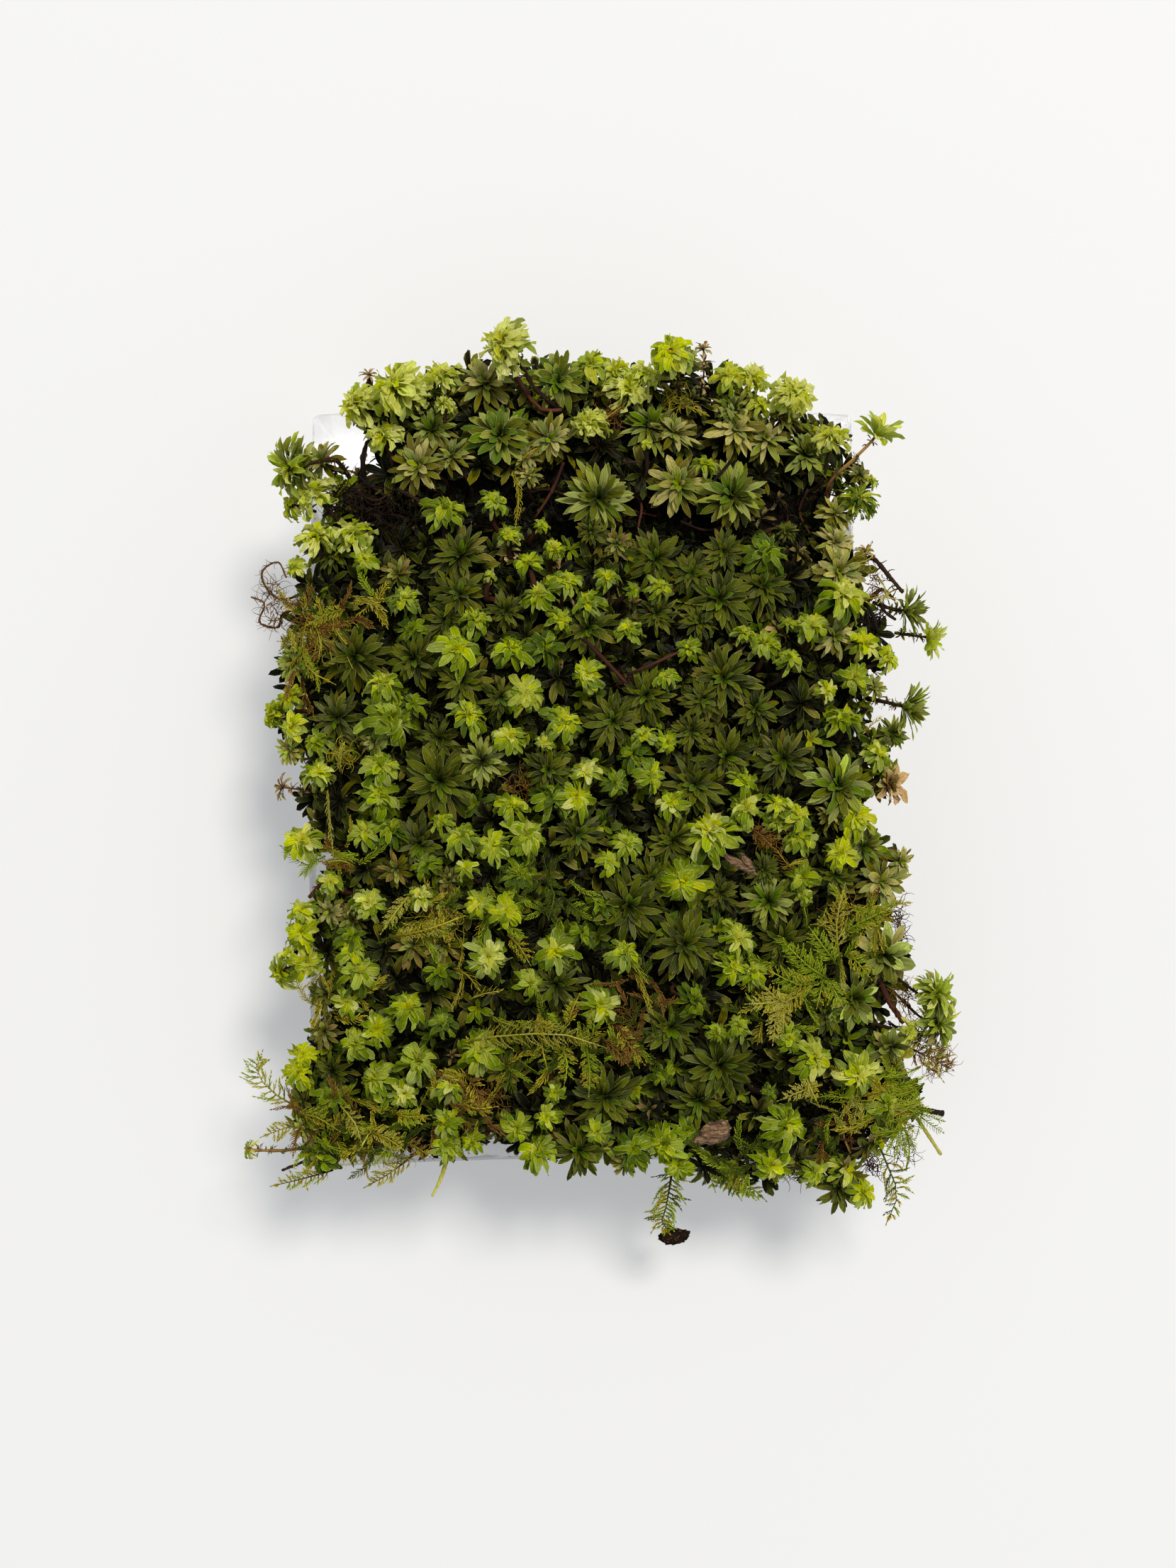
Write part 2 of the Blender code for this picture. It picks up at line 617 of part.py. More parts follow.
# Fern moss fronds that hang past the edge: stops, then half width at the widest
fronds = [
    ("frond_left_curled", [(416, 1560, 0.0395), (384, 1540, 0.0410), (362, 1512, 0.0400), (368, 1490, 0.0380)], 0.0026),
    ("frond_left_small", [(424, 1586, 0.0390), (400, 1592, 0.0380), (374, 1602, 0.0350)], 0.0018),
    ("frond_front_left", [(470, 1650, 0.0385), (430, 1662, 0.0385), (388, 1672, 0.0330)], 0.0016),
    ("frond_front_left_tip", [(585, 1628, 0.0390), (550, 1655, 0.0380), (520, 1672, 0.0350)], 0.0020),
    ("frond_front_hanging", [(950, 1640, 0.0385), (945, 1672, 0.0370), (940, 1700, 0.0330), (934, 1722, 0.0290), (942, 1736, 0.0262)], 0.0042),
    ("frond_front_mass", [(1010, 1630, 0.0390), (1020, 1655, 0.0385), (1040, 1684, 0.0350)], 0.0062),
    ("frond_front_right", [(1238, 1610, 0.0385), (1256, 1655, 0.0380), (1266, 1685, 0.0340), (1252, 1722, 0.0280)], 0.0028),
    ("frond_right_roots", [(1282, 1478, 0.0385), (1312, 1492, 0.0390), (1338, 1506, 0.0370)], 0.0030),
    ("frond_left_gold", [(470, 880, 0.0415), (425, 905, 0.0430), (398, 905, 0.0400)], 0.0040),
]


def frond(path, half, thick, grow):
    """A flat feathered blade along a path, toothed where its side branches end."""
    count = len(path) - 1
    bm = bmesh.new()
    bmesh.ops.create_grid(bm, x_segments=count, y_segments=2, size=1)
    for vertex in bm.verts:
        step = round((vertex.co.x + 1) / 2 * count)
        side = vertex.co.y
        here = path[step]
        ahead = path[min(step + 1, count)] - path[max(step - 1, 0)]
        across = ahead.cross(Vector((0, 0, 1)))
        across = across.normalized() if across.length > 1e-9 else Vector((1, 0, 0))
        part = step / count
        width = half * (0.45 + 0.55 * math.sin(math.pi * min(part * 0.9 + 0.12, 1)))
        if step % 2:
            width *= 0.5
        droop = -0.12 * abs(side) * half
        end = grow * (-1 if step == 0 else 1 if step == count else 0)
        vertex.co = here + across * side * (width + 2 * grow) + Vector((0, 0, droop)) + ahead.normalized() * end
    bmesh.ops.recalc_face_normals(bm, faces=bm.faces)
    normals = {v: v.normal.copy() for v in bm.verts}
    lower = bmesh.ops.extrude_face_region(bm, geom=bm.faces[:], use_keep_orig=True)
    moved = [v for v in lower["geom"] if isinstance(v, bmesh.types.BMVert)]
    for vertex in moved:
        vertex.co.z -= thick + 3 * grow
    for vertex in bm.verts:
        vertex.co.z += thick / 2 + 1.5 * grow
    return bm


print("fronds")
for name, stops, half in fronds:
    spots = [reach(*stop) for stop in stops]
    path = smooth_path(spots, 3)
    make_object(name, frond(path, half, 0.0007, 0), parts, fern_paint)
    clearances.append(make_object("frond_room", frond(path, half, 0.0007, seam), cutters))

# Needles, stubs and dead stems that stick out: stops and half thickness
sticks = [
    ("needle_front_left", [(508, 1606, 0.0395), (514, 1640, 0.0390), (519, 1661, 0.0365)], 0.0005, stem_paint),
    ("needle_front_mid", [(632, 1630, 0.0395), (622, 1662, 0.0385), (610, 1687, 0.0350)], 0.0005, stem_paint),
    ("stub_front_left", [(437, 1635, 0.0385), (418, 1643, 0.0380), (398, 1651, 0.0368)], 0.0005, stem_paint),
    ("stub_right", [(1290, 1562, 0.0390), (1310, 1567, 0.0390), (1331, 1571, 0.0385)], 0.0007, stem_paint),
    ("needle_right", [(1290, 1572, 0.0385), (1306, 1596, 0.0385), (1327, 1628, 0.0340)], 0.0004, stem_paint),
    ("stem_arch_back_left", [(514, 684, 0.0390), (512, 650, 0.0420), (519, 624, 0.0430), (532, 628, 0.0425), (540, 654, 0.0395)], 0.0006, stem_paint),
    ("dead_loop_left", [(425, 838, 0.0400), (398, 846, 0.0415), (376, 830, 0.0425), (370, 806, 0.0420), (392, 793, 0.0430), (404, 815, 0.0445)], 0.0007, stem_paint),
    ("dead_tail_left", [(422, 860, 0.0395), (399, 866, 0.0400), (392, 885, 0.0395), (366, 878, 0.0390), (373, 852, 0.0400), (354, 842, 0.0400)], 0.0006, stem_paint),
    ("root_right_upper", [(1216, 792, 0.0395), (1232, 788, 0.0420), (1256, 815, 0.0440), (1274, 836, 0.0450)], 0.0007, stem_paint),
    ("root_right_lower", [(1222, 850, 0.0410), (1244, 832, 0.0420), (1262, 846, 0.0410)], 0.0005, stem_paint),
    ("rod_right_front", [(1240, 1380, 0.0415), (1254, 1412, 0.0410), (1274, 1442, 0.0390)], 0.0008, stem_paint),
    ("stem_left_gap", [(466, 1236, 0.0385), (450, 1250, 0.0390), (436, 1266, 0.0380)], 0.0006, stem_paint),
]

print("sticks")
for name, stops, thick, colour in sticks:
    spots = [reach(*stop) for stop in stops]
    path = smooth_path(spots, 2)
    make_object(name, tube(path, thick), parts, colour)
    ahead = (path[-1] - path[-2]).normalized() * seam
    back = (path[0] - path[1]).normalized() * seam
    wider = tube([path[0] + back] + path[1:-1] + [path[-1] + ahead], thick + seam)
    clearances.append(make_object("stick_room", wider, cutters))


def lump(name, place, size, turn, colour, seed):
    """A rough piece of soil or bark, and the room round it."""
    for grow, group in ((0, parts), (seam, cutters)):
        bm = bmesh.new()
        bmesh.ops.create_icosphere(bm, subdivisions=2, radius=1)
        for vertex in bm.verts:
            rough = 1 + 0.22 * noise.noise(vertex.co * 1.9 + Vector((seed, 0, 0)))
            vertex.co = Vector([c * (s * rough + grow) for c, s in zip(vertex.co, size)])
        spin = Matrix.Rotation(turn, 4, "Z")
        bmesh.ops.transform(bm, matrix=Matrix.Translation(place) @ spin, verts=bm.verts)
        item = make_object(name if not grow else "room", bm, group, colour)
        if grow:
            clearances.append(item)


print("litter")
lump("bark_chip", reach(1042, 1219, 0.0560), (0.0040, 0.0013, 0.0011), -0.55, bark_paint, 2)
lump("soil_lump", reach(1010, 1597, 0.0485), (0.0030, 0.0026, 0.0022), 0.3, bark_paint, 5)
lump("soil_crumb", reach(951, 1744, 0.0235), (0.0036, 0.0019, 0.0018), 0.1, soil, 9)

combine(cushion, "DIFFERENCE", clearances, "MANIFOLD")
rim = make_object("rim", tray_cage(rim_gap, -0.001, tray_height + 0.0005), cutters)
rim_core = make_object("rim_core", tray_cage(-tray_wall - rim_gap, -0.002, tray_height + 0.002), cutters)
combine(rim, "DIFFERENCE", [rim_core])
combine(cushion, "DIFFERENCE", [rim], "MANIFOLD")
keep_largest(cushion)
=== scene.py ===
import math

import bmesh
import bpy
import numpy as np
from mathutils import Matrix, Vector, noise


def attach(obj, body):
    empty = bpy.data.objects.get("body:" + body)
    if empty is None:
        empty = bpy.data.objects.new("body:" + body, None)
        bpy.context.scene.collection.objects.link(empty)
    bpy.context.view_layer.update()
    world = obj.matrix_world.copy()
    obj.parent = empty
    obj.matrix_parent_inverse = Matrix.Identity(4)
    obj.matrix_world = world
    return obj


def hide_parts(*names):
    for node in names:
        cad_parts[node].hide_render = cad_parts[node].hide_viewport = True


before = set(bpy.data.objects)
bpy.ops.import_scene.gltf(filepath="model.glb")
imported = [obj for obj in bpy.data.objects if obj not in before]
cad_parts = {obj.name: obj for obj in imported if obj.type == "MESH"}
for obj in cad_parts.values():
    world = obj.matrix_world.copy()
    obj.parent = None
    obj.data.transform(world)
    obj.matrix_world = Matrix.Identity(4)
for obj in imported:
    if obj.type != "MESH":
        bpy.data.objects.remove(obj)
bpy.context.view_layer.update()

# How the photograph reads: straight down, metres a pixel at the rim's height, and the eye above it
reading = {"width": 1659, "height": 2212, "step": 0.0001554, "rim": 0.036,
           "eye": (0.0013, 0.0016, 0.480), "lens": 46.5, "sensor": 36}

# The tray's inside, how far leaves and stems keep off its walls, and where its floor and rim begin
trayShape = {"halfWidth": 0.059, "halfLength": 0.0825, "clear": 0.0009, "floor": 0.0010, "rim": 0.0372}

cushion = {"crest": 0.0535, "rim": 0.0384, "halfAcross": 0.081, "halfAlong": 0.101, "lumps": 0.0012}


def reach(across, down, height):  # the point that the photograph shows there, at a known height
    eye = reading["eye"]
    step = reading["step"] * (eye[2] - height) / (eye[2] - reading["rim"])
    return Vector((eye[0] + (across - reading["width"] / 2) * step,
                   eye[1] - (down - reading["height"] / 2) * step, height))


def domeHeight(x, y):
    spread = (abs(x / cushion["halfAcross"]) ** 2.6 + abs(y / cushion["halfAlong"]) ** 2.6) ** (1 / 2.6)
    height = cushion["rim"] + (cushion["crest"] - cushion["rim"]) * (1 - min(spread, 1) ** 2.1)
    lump = noise.noise(Vector((x * 60, y * 60, 0.7)))
    return max(height + cushion["lumps"] * lump, cushion["rim"])


def domeSlope(x, y):
    step = 0.002
    dx = domeHeight(x + step, y) - domeHeight(x - step, y)
    dy = domeHeight(x, y + step) - domeHeight(x, y - step)
    return Vector((-dx / (2 * step), -dy / (2 * step), 1)).normalized()


def onDome(across, down, lift=0.0):  # the place on the cushion that the photograph shows there
    first = reach(across, down, 0.050)
    spot = reach(across, down, domeHeight(first.x, first.y) + lift)
    return Vector((spot.x, spot.y, domeHeight(spot.x, spot.y) + lift))


def tint(red, green, blue):  # a screen colour as Blender's linear one
    return tuple((c / 255 / 12.92) if c < 10.3 else ((c / 255 + 0.055) / 1.055) ** 2.4
                 for c in (red, green, blue))


def readTable(text):  # rows of names, numbers and lists with commas, one a line or after a semicolon
    def read(word):
        if "," in word:
            return tuple(read(part) for part in word.split(",") if part)
        if word[-1].isdigit():
            return float(word) if "." in word else int(word)
        return word
    rows = text.strip().replace(";", "\n").splitlines()
    return [tuple(read(word) for word in row.split()) for row in rows]


def readPoints(text):
    return [point for row in readTable(text) for point in row]


def draw(chance, count):  # a whole number below the count
    return int(chance.integers(0, count))


def pick(chance, items):
    return items[draw(chance, len(items))]


def jitter(chance, most):
    return chance.uniform(-most, most)


def shake(chance, much):
    return Vector(chance.normal(size=3) * much)


def unit(v):  # the same way, with a length of one
    length = np.linalg.norm(v) if v.ndim == 1 else np.linalg.norm(v, axis=-1, keepdims=True)
    return v / (length + 1e-12)


# Where each stage's random draws start; those that count up take one more for each piece
seeds = {"rosettes": 21, "under": 34, "stems": 61, "tray": 77, "shoots": 100, "fronds": 200,
         "ferns": 300, "thickets": 400, "sticks": 500}


print("camera, floor and light")
camera = bpy.data.objects.new("camera", bpy.data.cameras.new("camera"))
camera.data.lens = reading["lens"]
camera.data.sensor_width = reading["sensor"]
camera.data.clip_start = 0.01
camera.location = reading["eye"]
bpy.context.scene.collection.objects.link(camera)
bpy.context.scene.camera = camera
bpy.context.scene.view_settings.view_transform = "Standard"

studio = {"skyStrength": 0.56, "sky": (0.90, 0.94, 1.0), "keyPower": 169.0, "keySize": 1.15,
          "key": (1.06, 1.76, 3.63), "keyTint": (1.0, 0.955, 0.895), "floor": (0.46, 0.46, 0.455),
          "floorGlow": 0.300}

sky = bpy.data.worlds.new("studio")
sky.use_nodes = True
sky.node_tree.nodes["Background"].inputs["Color"].default_value = (*studio["sky"], 1)
sky.node_tree.nodes["Background"].inputs["Strength"].default_value = studio["skyStrength"]
bpy.context.scene.world = sky

softbox = bpy.data.lights.new("softbox", "AREA")
softbox.shape = "DISK"
softbox.size = studio["keySize"]
softbox.energy = studio["keyPower"]
softbox.color = studio["keyTint"]
softboxObject = bpy.data.objects.new("softbox", softbox)
softboxObject.location = studio["key"]
towards = Vector((0, 0, 0.03)) - Vector(studio["key"])
softboxObject.rotation_euler = towards.to_track_quat("-Z", "Y").to_euler()
bpy.context.scene.collection.objects.link(softboxObject)


def makeNodes(tree):  # a short way to place and wire nodes
    def place(kind, inputs=None, out=0, **settings):
        item = tree.nodes.new(kind)
        for key, value in settings.items():
            setattr(item, key, value)
        for key, value in (inputs or {}).items():
            if isinstance(value, bpy.types.NodeSocket):
                tree.links.new(value, item.inputs[key])
            else:
                item.inputs[key].default_value = value
        return item if out is None else item.outputs[out]
    return place


def sums(place, operation, *values):
    return place("ShaderNodeMath", dict(enumerate(values)), operation=operation)


def fade(place, value, low, high, start=0.0, end=1.0):  # an eased step from low to high
    return place("ShaderNodeMapRange", {"Value": value, "From Min": low, "From Max": high,
                 "To Min": start, "To Max": end}, interpolation_type="SMOOTHSTEP")


def blend(place, share, first, second, kind="MIX"):
    return place("ShaderNodeMix", {"Factor": share, 6: first, 7: second}, out=2,
                 data_type="RGBA", blend_type=kind)


def ramp(place, value, stops, stepped=False):
    item = place("ShaderNodeValToRGB", {0: value}, out=None)
    bar = item.color_ramp
    bar.interpolation = "CONSTANT" if stepped else "LINEAR"
    while len(bar.elements) < len(stops):
        bar.elements.new(0.5)
    for element, (at, colour) in zip(bar.elements, stops):
        element.position = at
    for element, (at, colour) in zip(bar.elements, stops):
        element.color = colour if len(colour) == 4 else (*colour, 1)
    return item


def cloud(place, where, scale, detail, flat=False, **more):  # noise, in two dimensions when flat
    return place("ShaderNodeTexNoise", {"Vector": where, "Scale": scale, "Detail": detail, **more},
                 noise_dimensions="2D" if flat else "3D")


def atlasCell(place, where, atlas):  # the cell of a colour map: its number, the place inside it, its tone
    count = (atlas["across"], atlas["along"], 1)
    scaled = place("ShaderNodeVectorMath", {0: where, 1: count}, operation="MULTIPLY")
    cell = place("ShaderNodeVectorMath", {0: scaled}, operation="FLOOR")
    local = place("ShaderNodeVectorMath", {0: scaled}, operation="FRACTION")
    column = place("ShaderNodeSeparateXYZ", {0: cell})
    tone = sums(place, "MULTIPLY_ADD", column, 1 / count[0], 0.5 / count[0])
    return scaled, cell, place("ShaderNodeSeparateXYZ", {0: local}, out=None).outputs, tone


def toneSteps(place, tone, colours):  # one flat colour for each tone of a map
    stops = [(i / len(colours), colour) for i, colour in enumerate(colours)]
    return ramp(place, tone, stops, stepped=True).outputs


def newFinish(name, fixed=None):
    finish = bpy.data.materials.new(name)
    finish.use_nodes = True
    shader = finish.node_tree.nodes["Principled BSDF"]
    for socket, value in (fixed or {}).items():
        shader.inputs[socket].default_value = value
    return finish, makeNodes(finish.node_tree), shader


def connect(finish, output, target, socket):
    finish.node_tree.links.new(output, target.inputs[socket])


def relief(finish, place, shader, height, distance):
    connect(finish, place("ShaderNodeBump", {"Height": height, "Distance": distance}), shader, "Normal")


def mixOut(finish, place, share, shader, other):  # a share of a second shader beside the main one
    both = place("ShaderNodeMixShader", {0: share, 1: shader.outputs[0], 2: other})
    connect(finish, both, finish.node_tree.nodes["Material Output"], "Surface")


print("finishes")
# Leaf tones: colour at the foot (partly painted shade in the dark tones), colour at the tip, how pale the
# margin is, how browned the blade is
tones = {
    # Painted shade: near black, for leaves deep among the crowns and on the floor of the hollows
    "shade": ((2, 4, 0), (12, 16, 0), 0.05, 0.12),
    "dark": ((12, 21, 0), (53, 62, 7), 0.16, 0.20),
    "grey": ((33, 45, 4), (89, 95, 25), 0.28, 0.25),
    "green": ((36, 62, 0), (88, 109, 2), 0.26, 0.12),
    "sage": ((60, 72, 12), (136, 143, 60), 0.40, 0.20),
    "olive": ((50, 50, 4), (106, 101, 26), 0.26, 0.45),
    "brown": ((60, 49, 16), (130, 108, 54), 0.30, 0.70),
    "straw": ((104, 98, 28), (180, 172, 94), 0.45, 0.45),
    "fresh": ((160, 173, 0), (118, 140, 2), 0.60, 0.06),
    "young": ((202, 203, 0), (162, 178, 8), 0.70, 0.04),
    "yellow": ((228, 222, 2), (198, 203, 22), 0.74, 0.05),
    "pale": ((160, 173, 12), (168, 182, 74), 0.72, 0.06),
    # Partly painted sheen: brightened for the crowns at the back
    "white": ((224, 226, 62), (222, 226, 132), 0.80, 0.05),
    "tan": ((116, 80, 34), (200, 162, 104), 0.30, 0.45),
}
toneNames = list(tones)
leafAtlas = {"across": len(toneNames), "along": 8, "edge": 0.05}


def leafSurfaceGroup():  # colour and relief of one blade, from its cell on the leaf map
    tree = bpy.data.node_groups.new("leafSurface", "ShaderNodeTree")
    tree.interface.new_socket(name="Map", in_out="INPUT", socket_type="NodeSocketVector")
    tree.interface.new_socket(name="Colour", in_out="OUTPUT", socket_type="NodeSocketColor")
    tree.interface.new_socket(name="Relief", in_out="OUTPUT", socket_type="NodeSocketFloat")
    tree.interface.new_socket(name="Roughness", in_out="OUTPUT", socket_type="NodeSocketFloat")
    place = makeNodes(tree)
    start = place("NodeGroupInput", out=None)
    end = place("NodeGroupOutput", out=None)
    scaled, cell, local, tone = atlasCell(place, start.outputs["Map"], leafAtlas)
    edge = leafAtlas["edge"]
    across, along = (place("ShaderNodeMapRange", {"Value": part, "From Min": edge, "From Max": 1 - edge,
                     "To Min": low, "To Max": 1.0}) for part, low in ((local[0], -1.0), (local[1], 0.0)))
    side = sums(place, "ABSOLUTE", across)
    foot, paleness = toneSteps(place, tone, [(*tint(*row[0]), row[2]) for row in tones.values()])
    tip, wither = toneSteps(place, tone, [(*tint(*row[1]), row[3]) for row in tones.values()])
    chance = place("ShaderNodeTexWhiteNoise", {"Vector": cell}, out=None, noise_dimensions="2D")
    chances = place("ShaderNodeSeparateColor", {0: chance.outputs["Color"]}, out=None).outputs
    speck = cloud(place, scaled, 7.0, 4.0, flat=True, Roughness=0.6)
    patch = cloud(place, scaled, 2.6, 2.0, flat=True)
    # From foot to tip; the dark feet stand partly for painted shade in the crowns' hearts
    colour = blend(place, fade(place, along, 0.10, 0.85), foot, tip)
    # Fine grooves run along the blade; where they darken the colour it is painted shade in the creases
    bent = sums(place, "MULTIPLY_ADD", patch, 5.0, sums(place, "MULTIPLY", across, 8.5))
    grooveAndShade = fade(place, sums(place, "SINE", bent), 0.05, 0.95)
    grooveAndShade = sums(place, "MULTIPLY", grooveAndShade, fade(place, side, 1.0, 0.6))
    grooveAndShade = sums(place, "MULTIPLY", grooveAndShade, fade(place, speck, 0.34, 0.60, 0.25, 1.0))
    colour = blend(place, sums(place, "MULTIPLY", grooveAndShade, 0.44), colour, (0.42, 0.46, 0.30, 1),
                   "MULTIPLY")
    # A darker line down the midrib: painted shade in its crease, also sunk in the relief
    ribAndShade = sums(place, "MULTIPLY", fade(place, side, 0.13, 0.02), fade(place, along, 0.95, 0.30))
    colour = blend(place, sums(place, "MULTIPLY", ribAndShade, 0.26), colour, (0.40, 0.44, 0.26, 1), "MULTIPLY")
    browned = sums(place, "MULTIPLY", fade(place, patch, 0.50, 0.66), wither)
    colour = blend(place, sums(place, "MULTIPLY", browned, 0.75), colour, (*tint(120, 99, 54), 1))
    margin = sums(place, "MAXIMUM", fade(place, side, 0.84, 0.98), fade(place, along, 0.94, 1.0))
    margin = sums(place, "MULTIPLY", margin, fade(place, speck, 0.30, 0.62, 0.15, 1.15))
    margin = sums(place, "MULTIPLY", margin, paleness)
    colour = blend(place, margin, colour, (*tint(210, 217, 152), 1))
    fine = fade(place, speck, 0.30, 0.70, 0.82, 1.16)
    value = sums(place, "MULTIPLY", fine, sums(place, "MULTIPLY_ADD", chances[1], 0.32, 0.84))
    hue = sums(place, "MULTIPLY_ADD", chances[0], 0.016, 0.492)
    depth = sums(place, "MULTIPLY_ADD", chances[2], 0.20, 0.90)
    colour = place("ShaderNodeHueSaturation", {"Hue": hue, "Saturation": depth, "Value": value,
                   "Color": colour})
    high = sums(place, "MULTIPLY_ADD", speck, 0.5, sums(place, "MULTIPLY", grooveAndShade, -0.7))
    high = sums(place, "MULTIPLY_ADD", ribAndShade, -1.0, high)
    rough = fade(place, speck, 0.2, 0.8, 0.34, 0.56)
    for socket, output in (("Colour", colour), ("Relief", high), ("Roughness", rough)):
        tree.links.new(output, end.inputs[socket])
    return tree


leafSurface = leafSurfaceGroup()


def leafFinish(name, throughShare, gloss, warm):
    finish, place, shader = newFinish(name, {"Specular IOR Level": gloss})
    here = place("ShaderNodeTexCoord", out=2)
    surface = place("ShaderNodeGroup", {"Map": here}, out=None, node_tree=leafSurface)
    connect(finish, surface.outputs["Colour"], shader, "Base Color")
    connect(finish, surface.outputs["Roughness"], shader, "Roughness")
    relief(finish, place, shader, surface.outputs["Relief"], 0.00007)
    light = blend(place, 1.0, surface.outputs["Colour"], (*warm, 1), "MULTIPLY")
    mixOut(finish, place, throughShare, shader, place("ShaderNodeBsdfTranslucent", {"Color": light}))
    return finish


oldLeaf = leafFinish("mossLeafOld", 0.20, 0.06, (1.0, 1.05, 0.5))
youngLeaf = leafFinish("mossLeafYoung", 0.48, 0.09, (1.12, 1.12, 0.5))
dryLeaf = leafFinish("mossLeafDry", 0.20, 0.10, (1.0, 0.9, 0.7))


# Strands of fern moss, stem and root wear colours by their cell: foot colour, tip colour
strandTones = {
    "gold": ((118, 106, 6), (212, 198, 58)),
    "fernGreen": ((92, 110, 2), (184, 201, 46)),
    "fernDark": ((44, 56, 6), (100, 114, 26)),
    "rust": ((84, 54, 16), (164, 122, 52)),
    "straw": ((150, 145, 34), (214, 205, 96)),
    "stem": ((26, 16, 9), (54, 36, 20)),
    "redStem": ((42, 21, 13), (80, 44, 29)),
    "black": ((16, 12, 11), (34, 26, 22)),
    "rootHair": ((50, 32, 16), (116, 82, 46)),
    "limeStem": ((84, 92, 28), (130, 150, 50)),
    "caneStem": ((70, 34, 16), (172, 134, 74)),
}
strandNames = list(strandTones)
strandAtlas = {"across": len(strandNames), "along": 6, "edge": 0.08}


def strandFinish(name, rough, gloss, throughShare=0.0, mottle=(0.62, 1.32)):
    finish, place, shader = newFinish(name, {"Specular IOR Level": gloss})
    here = place("ShaderNodeTexCoord", out=2)
    scaled, cell, local, tone = atlasCell(place, here, strandAtlas)
    foot, tip = (toneSteps(place, tone, [tint(*row[end]) for row in strandTones.values()])[0]
                 for end in (0, 1))
    speck = cloud(place, scaled, 11.0, 4.0, flat=True, Roughness=0.65)
    chance = place("ShaderNodeTexWhiteNoise", {"Vector": cell}, noise_dimensions="2D")
    colour = blend(place, fade(place, local[1], 0.05, 0.95), foot, tip)
    value = sums(place, "MULTIPLY", fade(place, speck, 0.3, 0.7, *mottle),
                 sums(place, "MULTIPLY_ADD", chance, 0.5, 0.75))
    colour = place("ShaderNodeHueSaturation", {"Value": value, "Color": colour})
    connect(finish, colour, shader, "Base Color")
    connect(finish, fade(place, speck, 0.2, 0.8, rough - 0.1, rough + 0.12), shader, "Roughness")
    relief(finish, place, shader, speck, 0.00012)
    if throughShare:
        mixOut(finish, place, throughShare, shader, place("ShaderNodeBsdfTranslucent", {"Color": colour}))
    return finish


fernFinish = strandFinish("fernMoss", 0.60, 0.12, 0.30, (0.84, 1.14))
stemFinish = strandFinish("deadStem", 0.75, 0.12)


def soilFinish(name, dark, light, speckle, threads):
    finish, place, shader = newFinish(name, {"Specular IOR Level": 0.08})
    here = place("ShaderNodeTexCoord", out=3)
    lumps = cloud(place, here, 420.0, 8.0, Roughness=0.68)
    crumbs = place("ShaderNodeTexVoronoi", {"Vector": here, "Scale": 900.0, "Randomness": 1.0})
    stretched = place("ShaderNodeMapping", {0: here, 3: (900.0, 900.0, 180.0), 2: (0.5, 0.3, 0.4)})
    fibres = cloud(place, stretched, 1.0, 5.0, Distortion=1.6)
    colour = ramp(place, lumps, [(0.30, dark), (0.52, tuple((a + b) / 2 for a, b in zip(dark, light))),
                                 (0.74, light)]).outputs[0]
    thread = sums(place, "MULTIPLY", fade(place, fibres, 0.56, 0.64), 0.7)
    colour = blend(place, thread, colour, (*threads, 1))
    grain = fade(place, crumbs, 0.0, 0.22, speckle, 0.0)
    colour = blend(place, grain, colour, (*tint(150, 128, 100), 1))
    connect(finish, colour, shader, "Base Color")
    connect(finish, fade(place, lumps, 0.3, 0.7, 0.78, 0.96), shader, "Roughness")
    high = sums(place, "MULTIPLY_ADD", crumbs, 0.6, sums(place, "MULTIPLY_ADD", fibres, 0.6, lumps))
    relief(finish, place, shader, high, 0.0006)
    return finish


# Dark and light of the lumps, how speckled, and the colour of its threads
dampSoil = soilFinish("dampSoil", tint(30, 20, 12), tint(124, 88, 56), 0.05, tint(166, 120, 78))
trayFelt = soilFinish("trayFelt", tint(34, 25, 10), tint(140, 108, 56), 0.05, tint(176, 136, 82))
crumbSoil = soilFinish("crumbSoil", tint(9, 6, 4), tint(40, 28, 18), 0.05, tint(96, 62, 38))
# Near-black felt between the crowns and in the hollows: painted shade
paintedShadeFelt = soilFinish("feltPaintedShade", tint(3, 2, 1), tint(15, 10, 5), 0.01, tint(38, 23, 13))


def barkFinish():
    finish, place, shader = newFinish("redBark")
    here = place("ShaderNodeTexCoord", out=3)
    stretched = place("ShaderNodeMapping", {0: here, 2: (0, 0, 0.55), 3: (260.0, 1500.0, 1500.0)})
    grain = cloud(place, stretched, 1.0, 6.0, Distortion=0.8)
    pores = cloud(place, here, 2300.0, 3.0)
    colour = ramp(place, grain, [(0.32, tint(44, 29, 17)), (0.50, tint(100, 73, 46)),
                                 (0.70, tint(162, 128, 88))]).outputs[0]
    colour = blend(place, fade(place, pores, 0.58, 0.66, 0.0, 0.75), colour, (*tint(44, 26, 20), 1))
    connect(finish, colour, shader, "Base Color")
    connect(finish, fade(place, grain, 0.3, 0.7, 0.70, 0.92), shader, "Roughness")
    relief(finish, place, shader, sums(place, "MULTIPLY_ADD", pores, -0.5, grain), 0.0005)
    return finish


bark = barkFinish()


